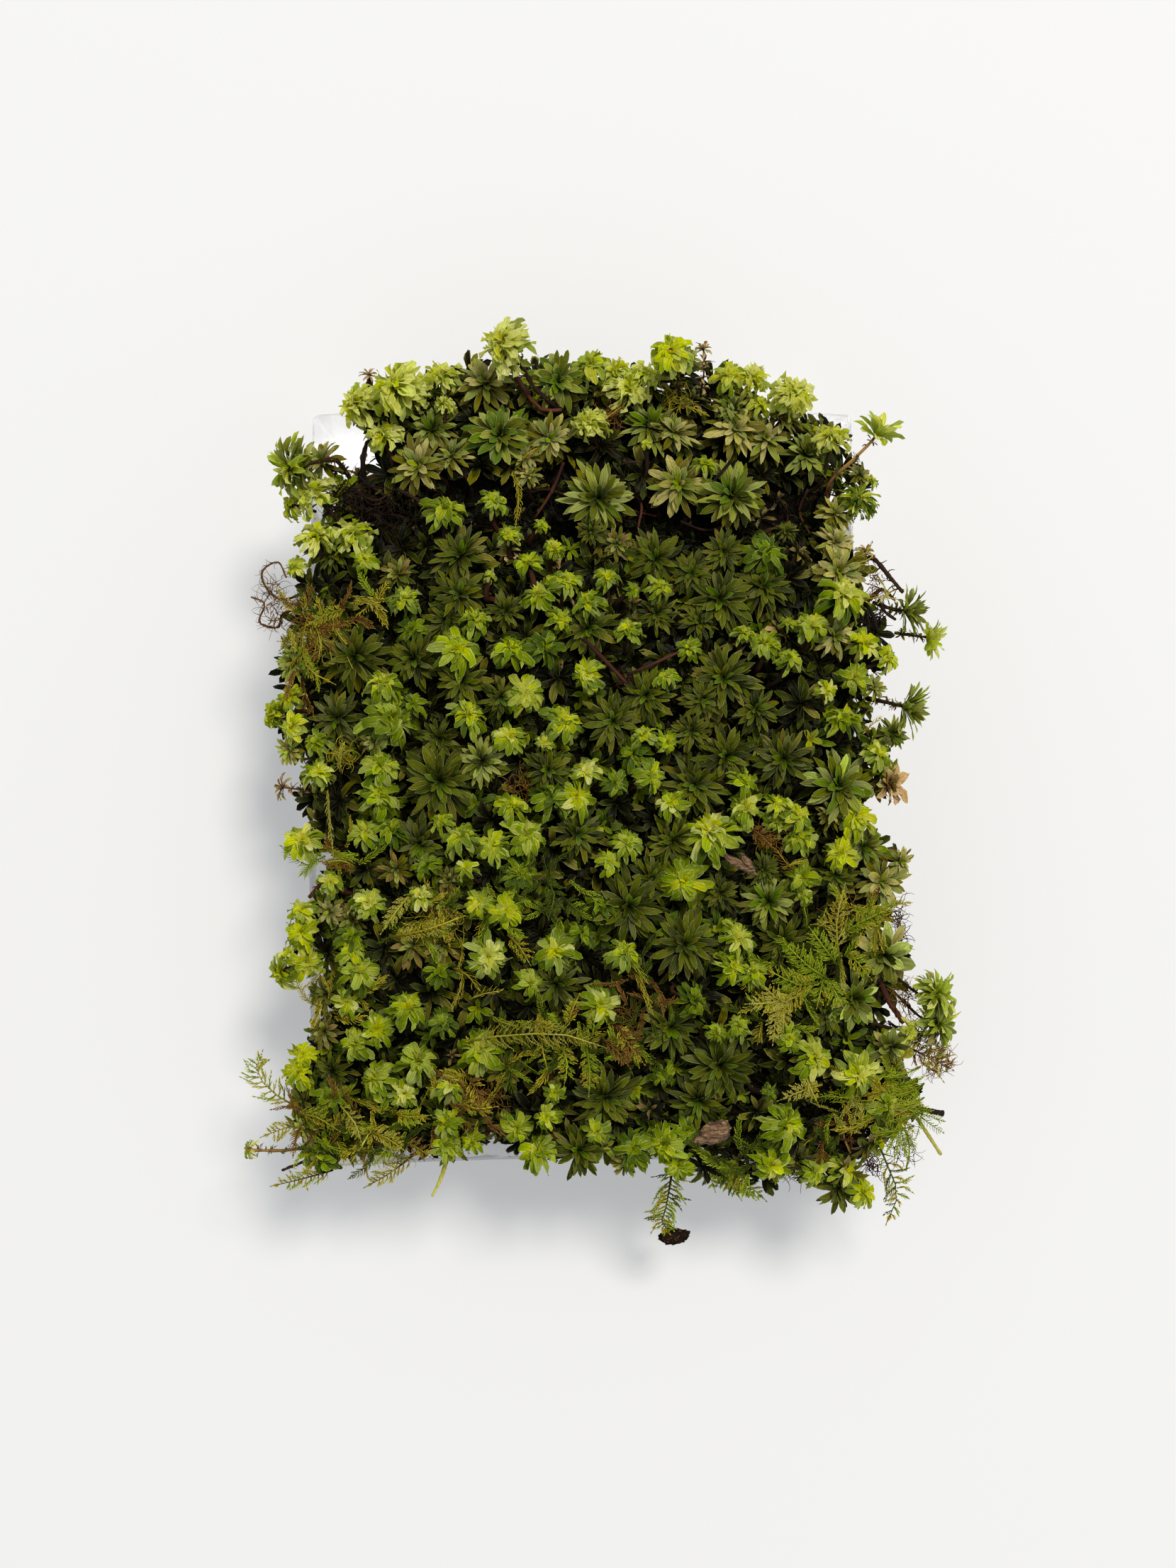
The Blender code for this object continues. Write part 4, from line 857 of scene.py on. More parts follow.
under = {"spacing": 0.0058, "jitter": 0.0018, "depth": 0.0044, "depthJitter": 0.0015,
         "radius": (0.0042, 0.0066), "corner": (-0.084, -0.105), "length": 0.21, "hollow": 0.002}
chance = np.random.default_rng(seeds["under"])
lower, lowerBright = [], []
rows = int(under["length"] / under["spacing"])
for row in range(rows):
    for column in range(rows):
        x = under["corner"][0] + column * under["spacing"] * 1.05 + jitter(chance, under["jitter"])
        x += 0.0028 * (row % 2)
        y = under["corner"][1] + row * under["spacing"] + jitter(chance, under["jitter"])
        if not inside(x, y) or hollowDepth(x, y) > under["hollow"]:
            continue
        top = Vector((x, y, domeHeight(x, y) - under["depth"] + jitter(chance, under["depthJitter"])))
        bright = chance.uniform() < (0.30 if y < 0.01 and x < 0.03 else 0.16)
        addRosette(lowerBright if bright else lower, top, rosetteAim(top, 0.5, chance),
                   chance.uniform(*under["radius"]) * (0.8 if bright else 1), "L" if bright else "U", chance)
# Round the rim they lean outward and droop over the tray
rimCrowns = {"count": 110, "height": (0.0375, 0.0405), "inward": (0.002, 0.006), "rise": (0.3, 1.3),
             "radius": (0.0038, 0.0054)}
lengths = [0.0]
for first, last in zip(outline, outline[1:] + outline[:1]):
    lengths.append(lengths[-1] + (last - first).length)
for index in range(rimCrowns["count"]):
    at = (index + jitter(chance, 0.3)) / rimCrowns["count"] * lengths[-1] % lengths[-1]
    leg = max(i for i, length in enumerate(lengths[:-1]) if length <= at)
    first, last = outline[leg], outline[(leg + 1) % len(outline)]
    part = (at - lengths[leg]) / (lengths[leg + 1] - lengths[leg])
    spot = first.lerp(last, part)
    ahead = (last - first).normalized()
    outward = Vector((-ahead.y, ahead.x, 0))
    place = Vector((*spot, chance.uniform(*rimCrowns["height"])))
    place -= outward * chance.uniform(*rimCrowns["inward"])
    aim = (outward + Vector((0, 0, chance.uniform(*rimCrowns["rise"])))).normalized()
    bright = chance.uniform() < (0.80 if spot.x < -0.055 else 0.45)
    addRosette(lowerBright if bright else lower, place, aim, chance.uniform(*rimCrowns["radius"]),
               "L" if bright else "UO"[index % 2], chance, 1.0 if bright else 0.75)
addPiece("leaves_under", [growLeaves(lower, oldLeaf, *grids["under"])], "moss_leaves", "moss_cushion")
addPiece("leaves_under_fresh", [growLeaves(lowerBright, youngLeaf, *grids["under"])], "young_leaves",
         "moss_cushion")


print("strands")


def smoothPath(stops, count):  # an even curve through the stops
    stops = np.array(stops, float)
    ends = np.concatenate([[2 * stops[0] - stops[1]], stops, [2 * stops[-1] - stops[-2]]])
    at = np.linspace(0, len(stops) - 1.0001, count)
    leg = at.astype(int)
    part = (at - leg)[:, None]
    first, second, third, fourth = (ends[leg + k] for k in range(4))
    return 0.5 * (2 * second + (third - first) * part
                  + (2 * first - 5 * second + 4 * third - fourth) * part ** 2
                  + (3 * second - first - 3 * third + fourth) * part ** 3)


def tubeGrid(sides, rings):  # a round tube with closed ends: ring number, angle and faces
    bm = bmesh.new()
    bmesh.ops.create_circle(bm, cap_ends=True, segments=sides, radius=1)
    edges = bm.edges[:]
    for ring in range(1, rings):
        grown = bmesh.ops.extrude_edge_only(bm, edges=edges)["geom"]
        edges = [item for item in grown if isinstance(item, bmesh.types.BMEdge)]
        risen = [item for item in grown if isinstance(item, bmesh.types.BMVert)]
        bmesh.ops.translate(bm, vec=(0, 0, 1), verts=risen)
    bmesh.ops.contextual_create(bm, geom=edges)
    bmesh.ops.triangulate(bm, faces=bm.faces)
    bmesh.ops.recalc_face_normals(bm, faces=bm.faces)
    points, faces = readGrid(bm)
    faces = np.array(sorted(tuple(np.roll(face, -face.argmin())) for face in faces))  # the same each run
    return points[:, 2].round().astype(int), np.arctan2(points[:, 1], points[:, 0]), faces


def addStem(strands, stops, foot, tip, tone, chance):
    strands.append((stops, foot, tip, tone, draw(chance, strandAtlas["along"])))


def growStrands(strands, finish, sides, rings):
    ring, angle, faces = tubeGrid(sides, rings)
    paths = np.array([smoothPath(strand[0], rings) for strand in strands])
    ahead = unit(np.gradient(paths, axis=1))
    start = np.where(np.abs(ahead[:, :1, 2:]) > 0.9, (1.0, 0, 0), (0, 0, 1.0))
    first = unit(np.cross(ahead, start))
    for step in range(1, rings):  # carried along, so that the tube doesn't twist
        lean = (first[:, step - 1] * ahead[:, step]).sum(1)[:, None]
        first[:, step] = unit(first[:, step - 1] - ahead[:, step] * lean)
    second = np.cross(ahead, first)
    part = np.linspace(0, 1, rings)
    foot = np.array([strand[1] for strand in strands])[:, None]
    tip = np.array([strand[2] for strand in strands])[:, None]
    wide = foot + (tip - foot) * part[None, :]
    rough = np.random.default_rng(len(strands)).uniform(0.82, 1.22, wide.shape)
    wide = (wide * rough)[:, ring][:, :, None]
    points = paths[:, ring] + wide * (first[:, ring] * np.cos(angle)[None, :, None]
                                      + second[:, ring] * np.sin(angle)[None, :, None])
    tone = np.array([strandNames.index(strand[3]) for strand in strands])[:, None]
    variant = np.array([strand[4] for strand in strands])[:, None]
    place = onAtlas(strandAtlas, tone, variant, np.abs(angle)[None, :] / math.pi, part[ring][None, :])
    return points.reshape(-1, 3), repeatFaces(faces, len(strands), len(ring)), place, finish


def walk(stops, spacing, least):  # even points on the curve through the stops, and the way ahead at each
    length = np.linalg.norm(np.diff(np.array(stops, float), axis=0), axis=1).sum()
    curve = smoothPath(stops, max(least, int(length / spacing)))
    return curve, unit(np.gradient(curve, axis=0))


def addLeaflet(leaflets, at, ahead, up, length, half, rise, fall, sway, tone, chance):
    side = unit(np.cross(up, ahead))
    leaflets.append((*at, *np.cross(side, up), *side, *up, 0.0, length, half, rise, fall, 0.2, 0.05,
                     jitter(chance, 0.3), sway, 0.0, 0.0, strandNames.index(tone),
                     draw(chance, strandAtlas["along"])))


def addSprig(leaflets, strands, stops, up, leafLength, tones, chance, spacing, half, stem, spread,
             hook=0.35, taper=0.75, thick=0.00020):  # a comb of fine curved leaflets
    curve, ahead = walk(stops, spacing, 4)
    addStem(strands, stops, thick, thick * 0.4, stem, chance)
    own = pick(chance, tones)
    for index, (spot, forward) in enumerate(zip(curve, ahead)):
        part = index / (len(curve) - 1)
        side = unit(np.cross(up, forward))
        longest = leafLength * min(1, (1.02 - part) / (1 - taper) if part > taper else 1)
        longest *= min(1, 0.55 + part * 2.2)
        for hand in (-1, 1):
            angle = math.radians(spread + jitter(chance, 9))
            aim = forward * math.cos(angle) + side * hand * math.sin(angle)
            size = max(longest, leafLength * 0.3) * chance.uniform(0.82, 1.15)
            addLeaflet(leaflets, spot, aim, up, size, half * chance.uniform(0.8, 1.25),
                       chance.uniform(0.15, 0.55), chance.uniform(-0.7, 0.1),
                       -hand * hook * chance.uniform(0.3, 1.3), own, chance)
    addLeaflet(leaflets, curve[-1], ahead[-1], up, leafLength * 0.7, half, 0.1, -0.3, 0, own, chance)


def addFrond(leaflets, strands, stops, up, width, tones, chance, stem, gap=0.0011, leafLength=0.00078,
             regular=1.0, wild=1.0):  # a rachis that carries a sprig to each side in turn
    curve, ahead = walk(stops, gap / 2, 5)
    addStem(strands, stops, 0.00030, 0.00010, stem, chance)
    for index in range(int(len(curve) * 0.12), len(curve) - 1):
        part = index / (len(curve) - 1)
        hand = 1 if index % 2 else -1
        side = unit(np.cross(up, ahead[index]))
        shape = math.sin(math.pi * min(1, 0.22 + part * 0.76)) ** 0.7
        size = width * shape * chance.uniform(1 - 0.3 * regular, 1 + 0.12 * regular)
        if size < 0.0008:
            continue
        spread = math.radians(56 + 10 * wild * jitter(chance, 1))
        aim = ahead[index] * math.cos(spread) + side * hand * math.sin(spread)
        bend = ahead[index] * chance.uniform(0.0, 0.25 * wild ** 2) - up * chance.uniform(0.0, 0.35)
        bend = bend + np.cross(up, aim) * (wild - 1) * jitter(chance, 0.8)
        middle = curve[index] + aim * size * 0.5 + up * size * chance.uniform(0.0, 0.12)
        end = curve[index] + (aim + bend) * size
        addSprig(leaflets, strands, [curve[index], middle, end], up, leafLength * (0.6 + 0.5 * shape), tones,
                 chance, 0.00036 * wild, 0.00012, stem, 48, hook=0.5 * wild ** 2, taper=0.5, thick=0.00012)
    addSprig(leaflets, strands, [curve[-3], curve[-2], curve[-1] + ahead[-1] * 0.0012], up, leafLength * 0.7,
             tones, chance, 0.00036, 0.00012, stem, 45, taper=0.4, thick=0.00012)


def addFrizz(strands, centre, size, count, length, tone, thick, chance, curl=1.6, points=6):
    for index in range(count):
        spot = np.array(centre) + np.array(size) * chance.uniform(-1, 1, 3) * 0.6
        heading = unit(chance.normal(size=3) * (1, 1, 0.5))
        turn = chance.normal(size=3) * (0.4, 0.4, 1.2)
        step = length / points * chance.uniform(0.6, 1.3)
        path = [spot]
        for leg in range(points - 1):
            heading = unit(heading + np.cross(turn, heading) * curl / points * chance.uniform(0.5, 2.2))
            path.append(path[-1] + heading * step)
        addStem(strands, path, thick, thick * 0.35, tone, chance)


def tangle(share, strands, path, thick, chance, every=0.0016, length=0.0022):  # root hairs on a stem
    for spot in walk(path, every, 6)[0][1:-1]:
        if chance.uniform() < share:
            addFrizz(strands, spot, (0.0001, 0.0001, 0.0001), 1, length * chance.uniform(0.5, 1.4), "rootHair",
                     thick * 0.35, chance, curl=2.0, points=5)


def reachAll(stops):
    return [np.array(reach(*stop)) for stop in stops]


print("shoots")
# Shoots that stand clear of the mass: name, kind, width, stem's half thickness, then its way up as
# across, down and height
shoots = readTable("""
    shoot_back_fan F 74 .0009 792,580,.043 752,545,.047 727,497,.0515 703,484,.0535
    shoot_back_left_tuft F 82 .0008 598,585,.043 575,562,.047 553,540,.05
    shoot_back_left_tip F 60 .0007 560,592,.042 522,577,.044 497,566,.045
    shoot_back_mid_tall Y 66 .0008 958,560,.043 955,525,.049 946,492,.054
    shoot_back_curled T 26 .0004 988,560,.043 993,525,.049 992,490,.053
    shoot_back_right_fan F 62 .0007 1098,600,.042 1112,566,.046 1121,548,.048
    shoot_right_back_fan V 66 .0006 1166,712,.041 1170,680,.045 1200,652,.0475 1232,620,.05 1240,606,.0505
    shoot_right_brush C 60 .0007 1184,745,.041 1202,722,.043 1213,699,.0445
    shoot_left_back_dark J 84 .0008 499,684,.0385 475,650,.044 440,653,.0455 398,661,.045
    shoot_left_bud Y 44 .0006 446,722,.0395 426,716,.041 405,712,.041
    shoot_left_star Y 46 .0006 440,1018,.0395 405,1010,.0415 378,1007,.042
    shoot_left_dried T 38 .0005 470,1112,.0395 430,1114,.0415 394,1110,.042
    shoot_left_front_star P 54 .0006 440,1352,.0395 410,1366,.0415 390,1376,.042
    shoot_front_left_long B 32 .0007 460,1612,.039 410,1622,.04 372,1623,.0405 347,1622,.04
    shoot_right_dark H 66 .0008 1232,850,.0395 1262,860,.043 1286,862,.044
    shoot_right_pale V 58 .0006 1262,893,.0395 1292,897,.0415 1316,900,.042
    shoot_right_mid_dark H 76 .0009 1222,985,.0395 1256,992,.0425 1286,1000,.043
    shoot_right_dried_star A 64 .0007 1226,1112,.0395 1246,1108,.0415 1262,1107,.0425
    shoot_right_front_upper J 70 .0006 1262,1376,.0395 1300,1404,.043 1329,1399,.044
    shoot_right_front_lower J 74 .0006 1258,1396,.039 1300,1436,.04 1332,1445,.0405
""")
caneShoots = ("shoot_front_left_long", "shoot_right_back_fan")
oldShoots = ("shoot_right_dark", "shoot_right_front_upper", "shoot_right_front_lower")
for order, (name, kind, wide, thick, *stops) in enumerate(shoots):
    chance = np.random.default_rng(seeds["shoots"] + order)
    spots = reachAll(stops)
    path = smoothPath(spots, 12)
    ahead = Vector(path[-1] - path[-3]).normalized()
    aim = (ahead + Vector((0, 0, 0.75 if kind in "DGS" else 0.15 if kind in "HV" else 0.45))).normalized()
    radius = wide / 2 * reading["step"] * 1.04
    leaves, strands = [], []
    # Painted light: shoots take brighter tones, some more than others
    lit = 0.15 if kind in "ATCVJ" else 0.75
    addRosette(leaves, Vector(path[-1]) - aim * radius * 0.35, aim, radius, kind, chance,
               1.0 if wide > 40 else 0.7, lit)
    if kind in "BYPFCJ" and wide > 44:  # the older leaves below the head hang down the stem
        addRosette(leaves, Vector(path[-2]) - aim * radius * 0.5, (aim + ahead).normalized(), radius * 0.85,
                   kind if kind in "PFCJ" else "B", chance, 0.8, lit)
        addRosette(leaves, Vector(path[-4]), (ahead + Vector((0, 0, 0.2))).normalized(), radius * 0.6, "L",
                   chance, 1.0, lit)
    for spot in path[2:-3:2]:
        lean = (shake(chance, 0.5) + ahead + Vector((0, 0, 0.3))).normalized()
        addRosette(leaves, Vector(spot), lean, 0.0017, "T" if kind in "AT" else "O", chance, 0.35)
    stemTone = "caneStem" if name in caneShoots else "redStem" if order % 2 else "stem"
    strands.append((spots, thick * 0.62, thick * 0.45, stemTone, order % 6))
    tangle(0.5, strands, spots, thick, chance)
    finish = dryLeaf if kind in "AT" else youngLeaf
    slot = "moss_leaves" if name in oldShoots else "dried_leaves" if kind in "AT" else "young_leaves"
    frilled = kind in "FC"
    groups = ([growLeaves(leaves, finish, *grids["frill"], shape=frill)] if frilled
              else growBySize(leaves, finish))
    addPiece(name + "_leafy", groups + [growStrands(strands, stemFinish, 6, 10)], slot, name)

print("ferns")
up = np.array((0.0, 0.0, 1.0))
# Fern moss past the rim, each in place of its solid: name, style, tones, half width, stem, then its way
# out as across, down and height
hangingFronds = readTable("""
    frond_left_curled wild straw,gold,fernGreen .0034 straw 416,1560,.0395 384,1540,.041 \
        362,1512,.04 368,1490,.038
    frond_left_small wild straw,gold .0022 straw 424,1586,.039 400,1592,.038 374,1602,.035
    frond_front_left wild gold,fernGreen .002 caneStem 470,1650,.0385 430,1662,.0385 388,1672,.033
    frond_front_left_tip wild gold,straw .0024 caneStem 585,1628,.039 550,1655,.038 520,1672,.035
    frond_front_hanging wild fernGreen,fernDark,gold .0042 fernDark 950,1640,.0385 945,1672,.037 \
        940,1700,.033 934,1722,.029 942,1736,.0262
    frond_front_mass mass fernGreen,fernDark,gold .0064 fernGreen 1010,1630,.039 1020,1655,.0385 1040,1684,.035
    frond_front_right open fernGreen,fernDark,gold .0036 limeStem 1238,1610,.0385 1256,1655,.038 \
        1266,1685,.034 1252,1722,.028
    frond_right_roots wild straw,rust,gold .0046 caneStem 1282,1478,.0385 1312,1492,.039 1338,1506,.037
    frond_left_gold frond gold,straw,rust .0042 gold 470,880,.0415 425,905,.043 398,905,.04
""")
# How a frond's form differs from a plain one's
frondForms = {"frond": {}, "loose": {"leafLength": 0.00095, "regular": 1.8, "wild": 1.4},
              "wild": {"leafLength": 0.00105, "regular": 1.8, "wild": 1.45},
              "open": {"leafLength": 0.00105, "regular": 1.8, "wild": 1.45, "gap": 0.0020}}
massFronds = {"count": 7, "spread": (0.0052, 0.001, 0.001), "width": 0.42}


def growFern(leaflets, strands):
    return [growLeaves(leaflets, fernFinish, *grids["finger"], strandAtlas, finger),
            growStrands(strands, fernFinish, 3, 5)]


for order, (name, style, colours, width, stem, *stops) in enumerate(hangingFronds):
    chance = np.random.default_rng(seeds["fronds"] + order)
    leaflets, strands = [], []
    spots = reachAll(stops)
    if style == "mass":
        for index in range(massFronds["count"]):
            shift = np.array([jitter(chance, far) for far in massFronds["spread"]])
            addFrond(leaflets, strands, [s + shift * (0.3 + 0.5 * k) for k, s in enumerate(spots)], up,
                     width * massFronds["width"], colours, chance, stem)
    else:
        addFrond(leaflets, strands, spots, up, width, colours, chance, stem, **frondForms[style])
    addPiece(name + "_feathery", growFern(leaflets, strands), "fern_moss", name)

# Fern moss over the cushion: style, tones, half width, height above it in millimetres, then across and
# down of its stops
ferns = readTable("""
    loose straw,gold .0026 3.5 1183,1350 1180,1300 1190,1256
    loose gold,straw .002 3 1200,1322 1171,1301 1152,1303
    loose fernGreen,gold .0028 3.5 1187,1320 1213,1301 1262,1279
    frond fernGreen,fernGreen .0026 3.5 1181,1361 1162,1336 1146,1314
    frond fernGreen,fernGreen .003 3.8 1167,1381 1138,1361 1111,1334
    frond fernGreen,gold .003 3.6 1154,1385 1126,1389 1085,1369
    frond fernGreen,gold .0024 3 1162,1377 1158,1396 1154,1414
    frond fernGreen,gold .0024 3 1167,1381 1177,1398 1187,1416
    comb gold,straw .0016 3.2 1187,1352 1189,1372 1191,1393
    frond fernGreen,gold .0022 3 1195,1344 1210,1358 1224,1375
    frond straw,gold .0026 3.2 1138,1393 1107,1414 1079,1393
    frond straw,straw,gold .0026 3.4 1117,1408 1090,1414 1060,1416
    frond straw,gold .002 3 1107,1410 1106,1428 1105,1446
    frond straw,straw .002 3 1101,1414 1094,1440 1091,1465
    comb fernGreen,fernDark .0016 2.5 1138,1312 1138,1296 1134,1280
    comb fernGreen,fernDark .0016 2.5 1150,1316 1160,1296 1166,1280
    frond straw,gold .003 3 662,1468 700,1462 754,1458 800,1460 846,1475
    frond fernGreen,gold .0022 3.2 827,1475 832,1508 831,1538
    frond fernGreen,gold .0022 3.2 793,1475 800,1500 797,1524
    frond gold,fernGreen .0018 3 764,1466 766,1484 770,1500
    frond gold,rust .0016 3.2 802,1446 806,1428 814,1410
    frond fernGreen,gold .0018 3.2 834,1466 838,1448 836,1432
    frond rust,gold .002 2.6 872,1446 886,1472 904,1495
    frond rust,rust .0018 2 850,1466 872,1484 884,1500
    comb gold,straw .0018 3 896,1374 908,1396 919,1424
    comb straw,gold .0018 3.2 652,1372 650,1394 640,1418
    comb straw,gold .0016 3 662,1410 682,1402 705,1398
    comb gold,rust .002 2.6 640,1366 660,1376 672,1392
    comb gold,straw .0014 3.4 490,840 518,848 542,860
    comb straw,rust .001 3.5 1218,846 1246,842 1276,848
    comb straw,rust .0009 3.5 1238,812 1248,828 1252,844
    comb straw,rust .0009 4 1262,832 1252,838 1240,850
    comb straw,rust .001 4 1208,786 1222,780 1230,766
    comb straw,rust .0009 3 1206,794 1220,792 1232,784
    frond gold,fernGreen .0016 3.2 487,860 462,866 434,881
    frond gold,fernGreen .0014 3.2 430,905 428,928 440,948 466,962
    comb gold,straw .0011 3.4 470,880 478,895 486,906
    comb straw,gold .001 3.4 446,886 452,905 450,925
    comb gold,fernGreen .0012 3 447,948 448,960 449,972
    frond straw,straw .0022 3.6 1160,1530 1134,1538 1105,1550
    frond straw,gold .0018 3.4 1134,1512 1142,1532 1152,1553
    comb gold,fernGreen .0026 3.6 1228,1556 1198,1550 1168,1546
    comb gold,straw .0018 3.2 1234,1576 1204,1592 1178,1594
    comb fernGreen,gold .0024 3 1299,1505 1280,1514 1258,1518
    comb fernGreen,gold .0026 3 1304,1528 1284,1540 1264,1545
    comb fernGreen,gold .0024 3 1304,1548 1290,1556 1274,1560
    comb fernGreen,straw .0022 3 1302,1566 1282,1576 1262,1580
    comb fernGreen,straw .0022 2.6 1290,1588 1262,1596 1240,1598
    comb gold,straw .0014 3.4 482,1090 478,1072 484,1052
    comb straw,gold .0014 3.2 462,1115 464,1150 470,1200
    comb gold,rust .0018 2.6 500,1222 482,1214 462,1216
    frond straw,straw .0016 3.6 578,1262 560,1284 542,1310
    frond gold,straw .0016 2.6 550,1322 600,1312 647,1295
    comb gold,fernGreen .0016 3 690,1430 704,1440 722,1446
    frond gold,fernGreen .0022 3 716,1318 732,1334 744,1354
    frond fernDark,fernDark .0026 2.6 770,1240 782,1262 776,1288
    frond fernDark,fernGreen .0022 2.6 796,1268 812,1282 826,1290
    comb gold,fernGreen .0018 3.2 886,1348 896,1362 910,1382
    frond gold,straw .002 2.8 750,1440 764,1448 780,1452
    comb gold,rust .0018 3 834,606 852,592 876,574
    comb gold,rust .0014 2.8 736,652 744,640 758,632
    comb gold,fernGreen .0016 2.8 724,664 732,698 728,738
    comb gold,straw .0014 2.8 960,574 978,576 996,584
    comb gold,rust .0014 2.4 1104,1226 1118,1218 1134,1214
    frond rust,rust .0018 2.2 1058,1168 1076,1180 1090,1196
    comb gold,rust .0016 2.8 1216,1034 1228,1024 1240,1014
    comb gold,rust .002 2.6 1120,1228 1108,1216 1096,1200
    comb fernGreen,gold .0016 2.8 1200,1290 1216,1302 1232,1306
    frond gold,fernGreen .0024 2.6 420,1572 446,1576 472,1592
    frond gold,straw .0022 2.4 520,1596 546,1606 566,1620
    frond gold,fernGreen .0022 2.6 556,1570 576,1576 600,1574
    frond gold,rust .002 2.4 572,1612 590,1620 604,1630
    frond rust,gold .0024 2.6 660,1520 672,1538 676,1560
    frond gold,fernGreen .002 2.8 652,1556 672,1564 694,1562
    frond straw,gold .002 2.8 480,1560 500,1584 508,1606
    comb fernGreen,gold .0016 2.4 440,1600 462,1618 486,1626
""")
# Patches where short combs of fern moss grow thick: across, down, half sizes, how many, height in
# millimetres, tones
thickets = readTable("""
    454 868 44 24 26 2.2 gold,rust,rust,fernDark
    520 850 26 10 7 2.6 gold,fernGreen
    428 930 20 34 14 2.2 gold,fernDark,rust
    1150 1356 66 36 22 .8 fernGreen,fernDark,fernDark
    1232 1292 46 16 14 1.8 fernGreen,gold,rust
    1090 1420 50 36 20 1 fernGreen,gold,fernDark
    800 1480 120 40 50 1.2 fernGreen,gold,fernDark,fernDark
    496 1590 90 44 66 1.6 gold,fernGreen,fernDark,rust
    650 1556 54 46 28 1.4 gold,fernDark,rust
    1272 1550 36 50 40 1.8 fernGreen,gold,fernGreen
    620 1300 86 30 30 1.2 gold,fernDark,fernGreen
    752 1258 70 44 26 1 fernDark,fernGreen
    470 1212 38 26 18 1.8 gold,rust,fernGreen
    470 1390 40 50 16 1 gold,fernDark
    1210 1560 40 34 20 1.6 gold,fernGreen,straw
    900 1400 30 56 16 1.4 gold,rust,fernDark
    1060 1640 56 20 20 1 fernGreen,fernDark
    1182 1602 44 26 16 .4 gold,rust,fernDark
""")
leaflets, strands = [], []
for order, (middle, down, halfWide, halfDeep, count, lift, colours) in enumerate(thickets):
    chance = np.random.default_rng(seeds["thickets"] + order)
    for index in range(count):
        angle, far = chance.uniform(0, 6.283), chance.uniform() ** 0.5
        a, d = middle + halfWide * far * math.cos(angle), down + halfDeep * far * math.sin(angle)
        heading, bend = chance.uniform(0, 6.283), jitter(chance, 0.5)
        size = chance.uniform(12, 26)
        stops = [(a, d)]
        for leg in range(2):
            heading += bend
            stops.append((stops[-1][0] + size * math.cos(heading), stops[-1][1] + size * math.sin(heading)))
        base = lift + jitter(chance, 0.8)
        spots = [np.array(onDome(*stop, (base + k * 0.5) / 1000)) for k, stop in enumerate(stops)]
        over = np.array((domeSlope(*spots[1][:2]) + shake(chance, 0.35)).normalized())
        own = pick(chance, colours)
        addSprig(leaflets, strands, spots, over, chance.uniform(0.0009, 0.0016), (own,), chance, 0.00046,
                 0.00012, own, 54, hook=0.6, thick=0.00014)
for order, (style, colours, width, lift, *stops) in enumerate(ferns):
    chance = np.random.default_rng(seeds["ferns"] + order)
    spots = [np.array(onDome(a, d, (lift * (0.45 + 0.55 * k / (len(stops) - 1)) + 1.6) / 1000))
             for k, (a, d) in enumerate(stops)]
    place = Vector(spots[len(spots) // 2])
    over = np.array((domeSlope(place.x, place.y) + shake(chance, 0.25)).normalized())
    if style == "comb":
        addSprig(leaflets, strands, spots, over, width * 0.95, colours, chance, 0.00068, 0.00010,
                 colours[0], 54, hook=1.1)
    else:
        addFrond(leaflets, strands, spots, over, width * 1.08, colours, chance, colours[0], **frondForms[style])
addPiece("fern_over_cushion", growFern(leaflets, strands), "fern_moss", "moss_cushion")

print("stems and roots")
# Name, half thickness at the foot and at the tip, tone, how hairy, then its way as across, down and height
sticks = readTable("""
    needle_front_left .0004 .0002 caneStem .1 508,1606,.0395 514,1640,.039 519,1661,.0365
    needle_front_mid .0005 .0003 straw 0 632,1630,.0395 622,1662,.0385 610,1687,.035
    stub_front_left .0003 .0003 stem .2 437,1635,.0385 418,1643,.038 398,1651,.0368
    stub_right .0005 .0007 black .1 1290,1562,.039 1310,1567,.039 1331,1571,.0385
    needle_right .0004 .0004 straw 0 1290,1572,.0385 1306,1596,.0385 1327,1628,.034
    stem_arch_back_left .0006 .0004 stem .5 514,684,.039 512,650,.042 519,624,.043 532,628,.0425 540,654,.0395
    dead_loop_left .0003 .0002 rootHair 1 425,838,.04 398,846,.0415 376,830,.0425 \
        370,806,.042 392,793,.043 404,815,.0445
    dead_tail_left .0003 .0002 rootHair 1 422,860,.0395 399,866,.04 392,885,.0395 \
        366,878,.039 373,852,.04 354,842,.04
    root_right_upper .0006 .0004 stem 1 1216,792,.0395 1232,788,.042 1256,815,.044 1274,836,.045
    root_right_lower .0005 .0003 stem 1 1222,850,.041 1244,832,.042 1262,846,.041
    rod_right_front .00068 .0006 redStem .4 1240,1380,.0415 1254,1412,.041 1274,1442,.039
    stem_left_gap .0006 .0004 redStem .4 466,1236,.0385 450,1250,.039 436,1266,.038
""")
for order, (name, foot, tip, tone, hairy, *stops) in enumerate(sticks):
    chance = np.random.default_rng(seeds["sticks"] + order)
    spots = reachAll(stops)
    hairs = []
    tangle(hairy, hairs, spots, foot, chance, every=0.0007, length=0.0026)
    groups = [growStrands([(spots, foot, tip, tone, order % 6)], stemFinish, 8, 22)]
    if hairs:
        groups.append(growStrands(hairs, stemFinish, 3, 6))
    addPiece(name + "_weathered", groups, "dead_stems", name)

